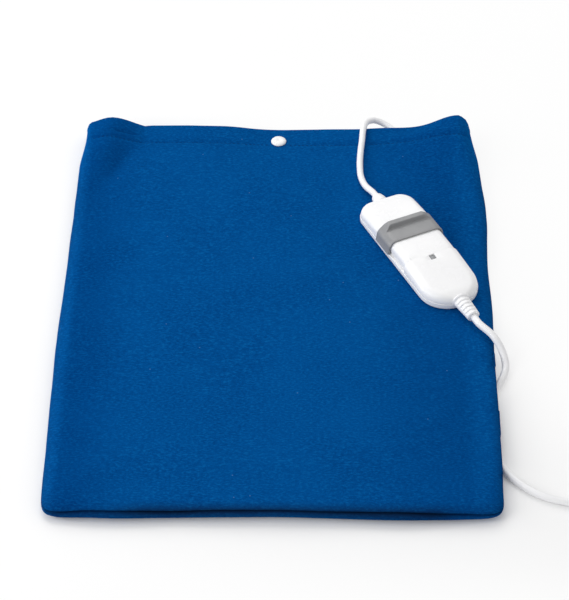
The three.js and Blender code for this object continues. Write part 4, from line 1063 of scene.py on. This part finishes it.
def new_group(name, inputs, outputs):
    group = bpy.data.node_groups.new(name, "ShaderNodeTree")
    add_socket = group.interface.new_socket
    add_socket("Vector", in_out="INPUT", socket_type="NodeSocketVector")
    for label, value in inputs.items():
        kind = "NodeSocketVector" if isinstance(value, tuple) else "NodeSocketFloat"
        add_socket(label, in_out="INPUT", socket_type=kind).default_value = value
    for label in outputs:
        add_socket(label, in_out="OUTPUT", socket_type="NodeSocketFloat")
    into, out = group.nodes.new("NodeGroupInput"), group.nodes.new("NodeGroupOutput")
    return group, into.outputs, out.inputs


# %% Fibres, grain and drawn lines
fibres, into, out = new_group(
    "Fibres", {"Strand": (260, 900, 600), "Pile": 1900}, ("Tone", "Streaks", "Height")
)
strands = noise_node(fibres, stretch_node(fibres, into["Vector"], into["Strand"]), 1, 3)
pile = noise_node(fibres, into["Vector"], into["Pile"], 2)
broad = noise_node(fibres, into["Vector"], 22, 3)
fibres.links.new(range_node(fibres, broad, 0.3, 0.7), out["Tone"])
fibres.links.new(range_node(fibres, strands, 0.52, 0.74), out["Streaks"])
pile = math_node(fibres, "MULTIPLY", pile, 0.7)
fibres.links.new(math_node(fibres, "ADD", strands, pile), out["Height"])

grain, into, out = new_group("Moulded grain", {"Grain": 2600}, ("Marks", "Height"))
grain.links.new(noise_node(grain, into["Vector"], into["Grain"], 2), out["Height"])
marks = noise_node(grain, into["Vector"], 60, 4, 0.7)
grain.links.new(range_node(grain, marks, 0.35, 0.7), out["Marks"])

drawn, into, out = new_group("Drawn lines", {"Lines": (3000, 60, 3000)}, ("Tone", "Height"))
lines = noise_node(drawn, stretch_node(drawn, into["Vector"], into["Lines"]), 1, 2)
drawn.links.new(lines, out["Height"])
drawn.links.new(range_node(drawn, lines, 0.3, 0.7), out["Tone"])
print("groups:", [group.name for group in bpy.data.node_groups])

# %% [markdown]
# ## Materials
# Each material keeps its own Principled shader. Numbers that are the same all over sit on the
# shader's sockets, and the groups feed only colour, roughness and bump.

# %% Material helpers
def new_material(name, **sockets):
    material = bpy.data.materials.new(name)
    material.use_nodes = True
    tree = material.node_tree
    shader = tree.nodes["Principled BSDF"]
    for label, value in sockets.items():
        shader.inputs[label.replace("_", " ")].default_value = value
    print("finish:", name)
    return tree, shader, tree.nodes.new("ShaderNodeTexCoord").outputs["Object"]


def add_group(tree, group, vector, **values):
    return add_node(tree, "Group", {"Vector": vector, **values}, node_tree=group).outputs


def mix_colours(tree, factor, first, second, blend="MIX"):
    inputs = {"Factor": factor, 6: first, 7: second}
    return add_node(tree, "Mix", inputs, data_type="RGBA", blend_type=blend).outputs[2]


def two_tone(tree, shader, tone, first, second, polish=None):
    tree.links.new(mix_colours(tree, tone, first, second), shader.inputs["Base Color"])
    if polish:
        tree.links.new(range_node(tree, tone, 0, 1, *polish), shader.inputs["Roughness"])


def add_bump(tree, shader, height, strength, distance):
    inputs = {"Strength": strength, "Distance": distance * MM, "Height": height}
    bump = add_node(tree, "Bump", inputs)
    tree.links.new(bump.outputs["Normal"], shader.inputs["Normal"])


# %% [markdown]
# The fleece is a deep blue with a short, brushed pile. Seen close it is mottled, with short
# light streaks across the pad where fibres lie over, and a few specks of lint. Painted shade
# darkens it a little in from the two long sides, a painted highlight lightens the very left
# edge away from the mouth, and painted shade is darkest in the seams and along the front roll.
# Sheen gives the pale bloom of the pile where it is seen along the surface.

# %% Fleece, thread and felt
tree, shader, here = new_material(
    "blue fleece", Roughness=1, Sheen_Weight=0.12, Sheen_Roughness=0.5,
    Sheen_Tint=(0.02, 0.45, 0.95, 1), Specular_IOR_Level=0,
)
nap = add_group(tree, fibres, here, Strand=(420, 900, 600), Pile=1500)
colour = mix_colours(tree, nap["Tone"], (0.0004, 0.046, 0.196), (0.0006, 0.059, 0.234))
raised = range_node(tree, nap["Height"], 0.6, 1.1)
colour = mix_colours(tree, raised, colour, (0.001, 0.079, 0.294))
streaks = math_node(tree, "MULTIPLY", nap["Streaks"], 0.6)
colour = mix_colours(tree, streaks, colour, (0.004, 0.122, 0.367))

# Painted shade a little in from the two long sides, taken off again at the very edges, and a
# painted highlight along the left edge away from the mouth.
across = add_node(tree, "SeparateXYZ", {0: here}).outputs
to_right = range_node(tree, across["X"], 0.05, 0.12, 0, 0.5)
at_right = range_node(tree, across["X"], 0.125, 0.147)
to_left = range_node(tree, across["X"], -0.09, -0.135, 0, 0.7)
at_left = range_node(tree, across["X"], -0.139, -0.151)
rims = math_node(tree, "MAXIMUM", at_right, at_left)
painted_side_shade = math_node(tree, "SUBTRACT", math_node(tree, "MAXIMUM", to_right, to_left), rims)
colour = mix_colours(tree, painted_side_shade, colour, (0.3, 0.66, 0.75), "MULTIPLY")
off_mouth = range_node(tree, across["Y"], 0.09, 0.17, 0.2, 0)
painted_left_rim_light = math_node(tree, "MULTIPLY", at_left, off_mouth)
colour = mix_colours(tree, painted_left_rim_light, colour, (3, 1.7, 1.6), "MULTIPLY")

lint = add_node(tree, "TexVoronoi", {"Vector": here, "Scale": 42}, voronoi_dimensions="2D").outputs
chosen = math_node(tree, "GREATER_THAN", lint["Color"], 0.75)
specks = range_node(tree, lint["Distance"], 0.012, 0.026, 0.28, 0)
specks = math_node(tree, "MULTIPLY", specks, chosen)
colour = mix_colours(tree, specks, colour, (0.2, 0.38, 0.6))
# Painted shade from the cover's crease value, darkest in the seams and along the front roll.
crease_shade = add_node(tree, "Attribute", {}, attribute_name="crease").outputs["Fac"]
colour = mix_colours(tree, crease_shade, colour, (0.004, 0.008, 0.024))
tree.links.new(colour, shader.inputs["Base Color"])
add_bump(tree, shader, nap["Height"], 0.55, 0.7)

tree, shader, here = new_material("navy thread", Roughness=0.8, Specular_IOR_Level=0.05)
twist = add_group(tree, fibres, here, Strand=(2600, 900, 900), Pile=4000)
two_tone(tree, shader, twist["Streaks"], (0.0004, 0.03, 0.13), (0.001, 0.055, 0.21))
add_bump(tree, shader, twist["Height"], 0.5, 0.2)

tree, shader, here = new_material("off-white felt", Roughness=0.95, Sheen_Weight=0.1)
mat = add_group(tree, fibres, here, Strand=(700, 500, 700), Pile=2400)
two_tone(tree, shader, mat["Streaks"], (0.70, 0.67, 0.61), (0.83, 0.81, 0.76))
add_bump(tree, shader, mat["Height"], 0.5, 0.5)

# %% [markdown]
# The plastics differ in colour and polish. Faint marks vary the roughness, and a very fine
# grain keeps the highlights from looking like glass. A row of the table holds a plastic's two
# tones, the range of its roughness, how shiny it is, the fineness of its grain and the depth of
# its bump.

# %% Plastics
for name, light, dark, polish, shine, grain_size, bump in (
    ("gloss white shell", (0.94, 0.94, 0.945), (0.92, 0.92, 0.93), (0.22, 0.3), 0.35, 1500, 0.08),
    (
        "satin grey slider", (0.285, 0.288, 0.295), (0.26, 0.264, 0.272), (0.36, 0.46), 0.5, 3200,
        0.3,
    ),
    ("matt white moulding", (0.93, 0.93, 0.935), (0.9, 0.9, 0.905), (0.3, 0.42), 0.5, 2600, 0.25),
    ("soft white jacket", (0.92, 0.92, 0.93), (0.885, 0.885, 0.9), (0.32, 0.45), 0.5, 2200, 0.2),
    ("matt black moulding", (0.02, 0.02, 0.021), (0.03, 0.03, 0.032), (0.4, 0.55), 0.5, 2600, 0.3),
    ("smoked window", (0.3, 0.31, 0.32), (0.26, 0.27, 0.28), (0.12, 0.2), 0.5, 1200, 0.1),
    ("red wire coating", (0.5, 0.09, 0.05), (0.4, 0.06, 0.035), (0.4, 0.5), 0.5, 3000, 0.2),
    ("green board", (0.02, 0.14, 0.06), (0.03, 0.18, 0.08), (0.3, 0.45), 0.5, 1800, 0.2),
    ("amber lamp", (0.75, 0.22, 0.04), (0.68, 0.18, 0.03), (0.12, 0.2), 0.5, 1200, 0.05),
):
    tree, shader, here = new_material(name, Specular_IOR_Level=shine)
    moulded = add_group(tree, grain, here, Grain=grain_size)
    two_tone(tree, shader, moulded["Marks"], light, dark, polish)
    add_bump(tree, shader, moulded["Height"], bump, 0.05)

# %% [markdown]
# The metal pieces are the plug's pins and what lies inside the control and the snap. Drawn
# lines along Y vary their tone and polish.

# %% Metals
for name, light, dark, polish in (
    ("bright steel", (0.62, 0.61, 0.59), (0.54, 0.53, 0.52), (0.18, 0.3)),
    ("spring bronze", (0.7, 0.46, 0.22), (0.6, 0.38, 0.17), (0.25, 0.38)),
):
    tree, shader, here = new_material(name, Metallic=1)
    lines = add_group(tree, drawn, here)
    two_tone(tree, shader, lines["Tone"], light, dark, polish)
    add_bump(tree, shader, lines["Height"], 0.15, 0.02)

# %% [markdown]
# Every CAD piece that still shows gets the finish of its slot, and each new piece gets its own.

# %% Give out the finishes
slot_finishes = {
    "fleece": "blue fleece", "felt": "off-white felt", "wire_coat": "red wire coating",
    "pale_plastic": "matt white moulding", "white_shell": "gloss white shell",
    "grey_slider": "satin grey slider", "black_plastic": "matt black moulding",
    "spring_metal": "spring bronze", "steel": "bright steel", "board": "green board",
    "lamp": "amber lamp", "lead_jacket": "soft white jacket",
}
finishes = [
    (cover, "blue fleece"), (hem_stitches, "navy thread"), (inner_pad, "off-white felt"),
    (snap_dome, "matt white moulding"), (upper_shell, "gloss white shell"),
    (tray, "gloss white shell"), (slider, "satin grey slider"), (window, "smoked window"),
]
for piece in (rear_boot, mains_boot, pad_lead, mains_lead, plug):
    finishes.append((piece, "soft white jacket"))
for piece in (tie, *pin_pieces):
    finishes.append((piece, "bright steel" if "mains_pin" in piece.name else "matt black moulding"))
for row in frame["record"]["subparts"]:
    finishes.append((frame["nodes"][row["node"]], slot_finishes[row["material_slot"]]))
for piece, name in finishes:
    piece.data.materials.clear()
    piece.data.materials.append(bpy.data.materials[name])
print("finishes given to", len(finishes), "nodes and pieces")

# %% [markdown]
# ## Floor and light
# The picture was taken on white, lit softly from above and from the left. The floor is a
# white surface that takes the shadow, with some of its white given only to what the camera
# and mirror-like surfaces see, so it stays pale without more light on the object. More of it
# is given where the picture's floor is plain white: towards the back and the right, in front
# of the shadow, and far from the object on every side.

# %% Floor
NEAR_WHITE, FAR_WHITE = 0.08, 0.85
bpy.ops.mesh.primitive_plane_add(size=12)
floor = bpy.context.object
floor.name = "floor"
tree, shader, here = new_material(
    "white floor", Roughness=1, Specular_IOR_Level=0, Base_Color=(0.97, 0.97, 0.97, 1)
)
floor.data.materials.append(bpy.data.materials["white floor"])
glow = add_node(tree, "Emission", {"Strength": 1})
rays = tree.nodes.new("ShaderNodeLightPath").outputs
seen = math_node(tree, "MAXIMUM", rays["Is Camera Ray"], rays["Is Glossy Ray"])
seen = math_node(tree, "MAXIMUM", seen, rays["Is Transmission Ray"])
across = add_node(tree, "SeparateXYZ", {0: here}).outputs
to_right = math_node(tree, "MULTIPLY", across["X"], 1.5)
to_back_right = math_node(tree, "ADD", to_right, across["Y"])
distance = add_node(tree, "VectorMath", {0: here}, operation="LENGTH").outputs["Value"]
given = range_node(tree, to_back_right, 0.08, 0.26, NEAR_WHITE, FAR_WHITE)
for measure, start, end in ((distance, 0.3, 0.9), (across["Y"], -0.215, -0.29)):
    white = range_node(tree, measure, start, end, NEAR_WHITE, FAR_WHITE)
    given = math_node(tree, "MAXIMUM", given, white)
share = math_node(tree, "MULTIPLY", seen, given)
mixed = add_node(tree, "MixShader", {0: share, 1: shader.outputs[0], 2: glow.outputs[0]})
tree.links.new(mixed.outputs[0], tree.nodes["Material Output"].inputs["Surface"])

# %% Lights
world = bpy.data.worlds.new("studio")
scene.world = world
world.use_nodes = True
tree = world.node_tree
background = tree.nodes["Background"].inputs
rays = tree.nodes.new("ShaderNodeLightPath").outputs
seen = math_node(tree, "MAXIMUM", rays["Is Camera Ray"], rays["Is Transmission Ray"])
background["Color"].default_value = (1, 1, 1, 1)
tree.links.new(range_node(tree, seen, 0, 1, 0.6, 1), background["Strength"])


def softbox(name, place, size, energy):
    bpy.ops.object.light_add(type="AREA", location=place)
    lamp = bpy.context.object
    lamp.name = name
    lamp.data.size = size
    lamp.data.energy = energy
    lamp.rotation_euler = (-lamp.location).to_track_quat("-Z", "Y").to_euler()


softbox("overhead_softbox", (-0.45, 1.5, 1.8), 1.8, 18.5)
softbox("left_softbox", (-1.75, -0.7, 1.25), 1.4, 17)
softbox("low_left_card", (-1.3, 0.1, 0.25), 0.6, 4.5)
print("three soft lights and a pale world")

# %% [markdown]
# ## The last update
# The view layer is updated once more at the end.

# %% The last update
bpy.context.view_layer.update()
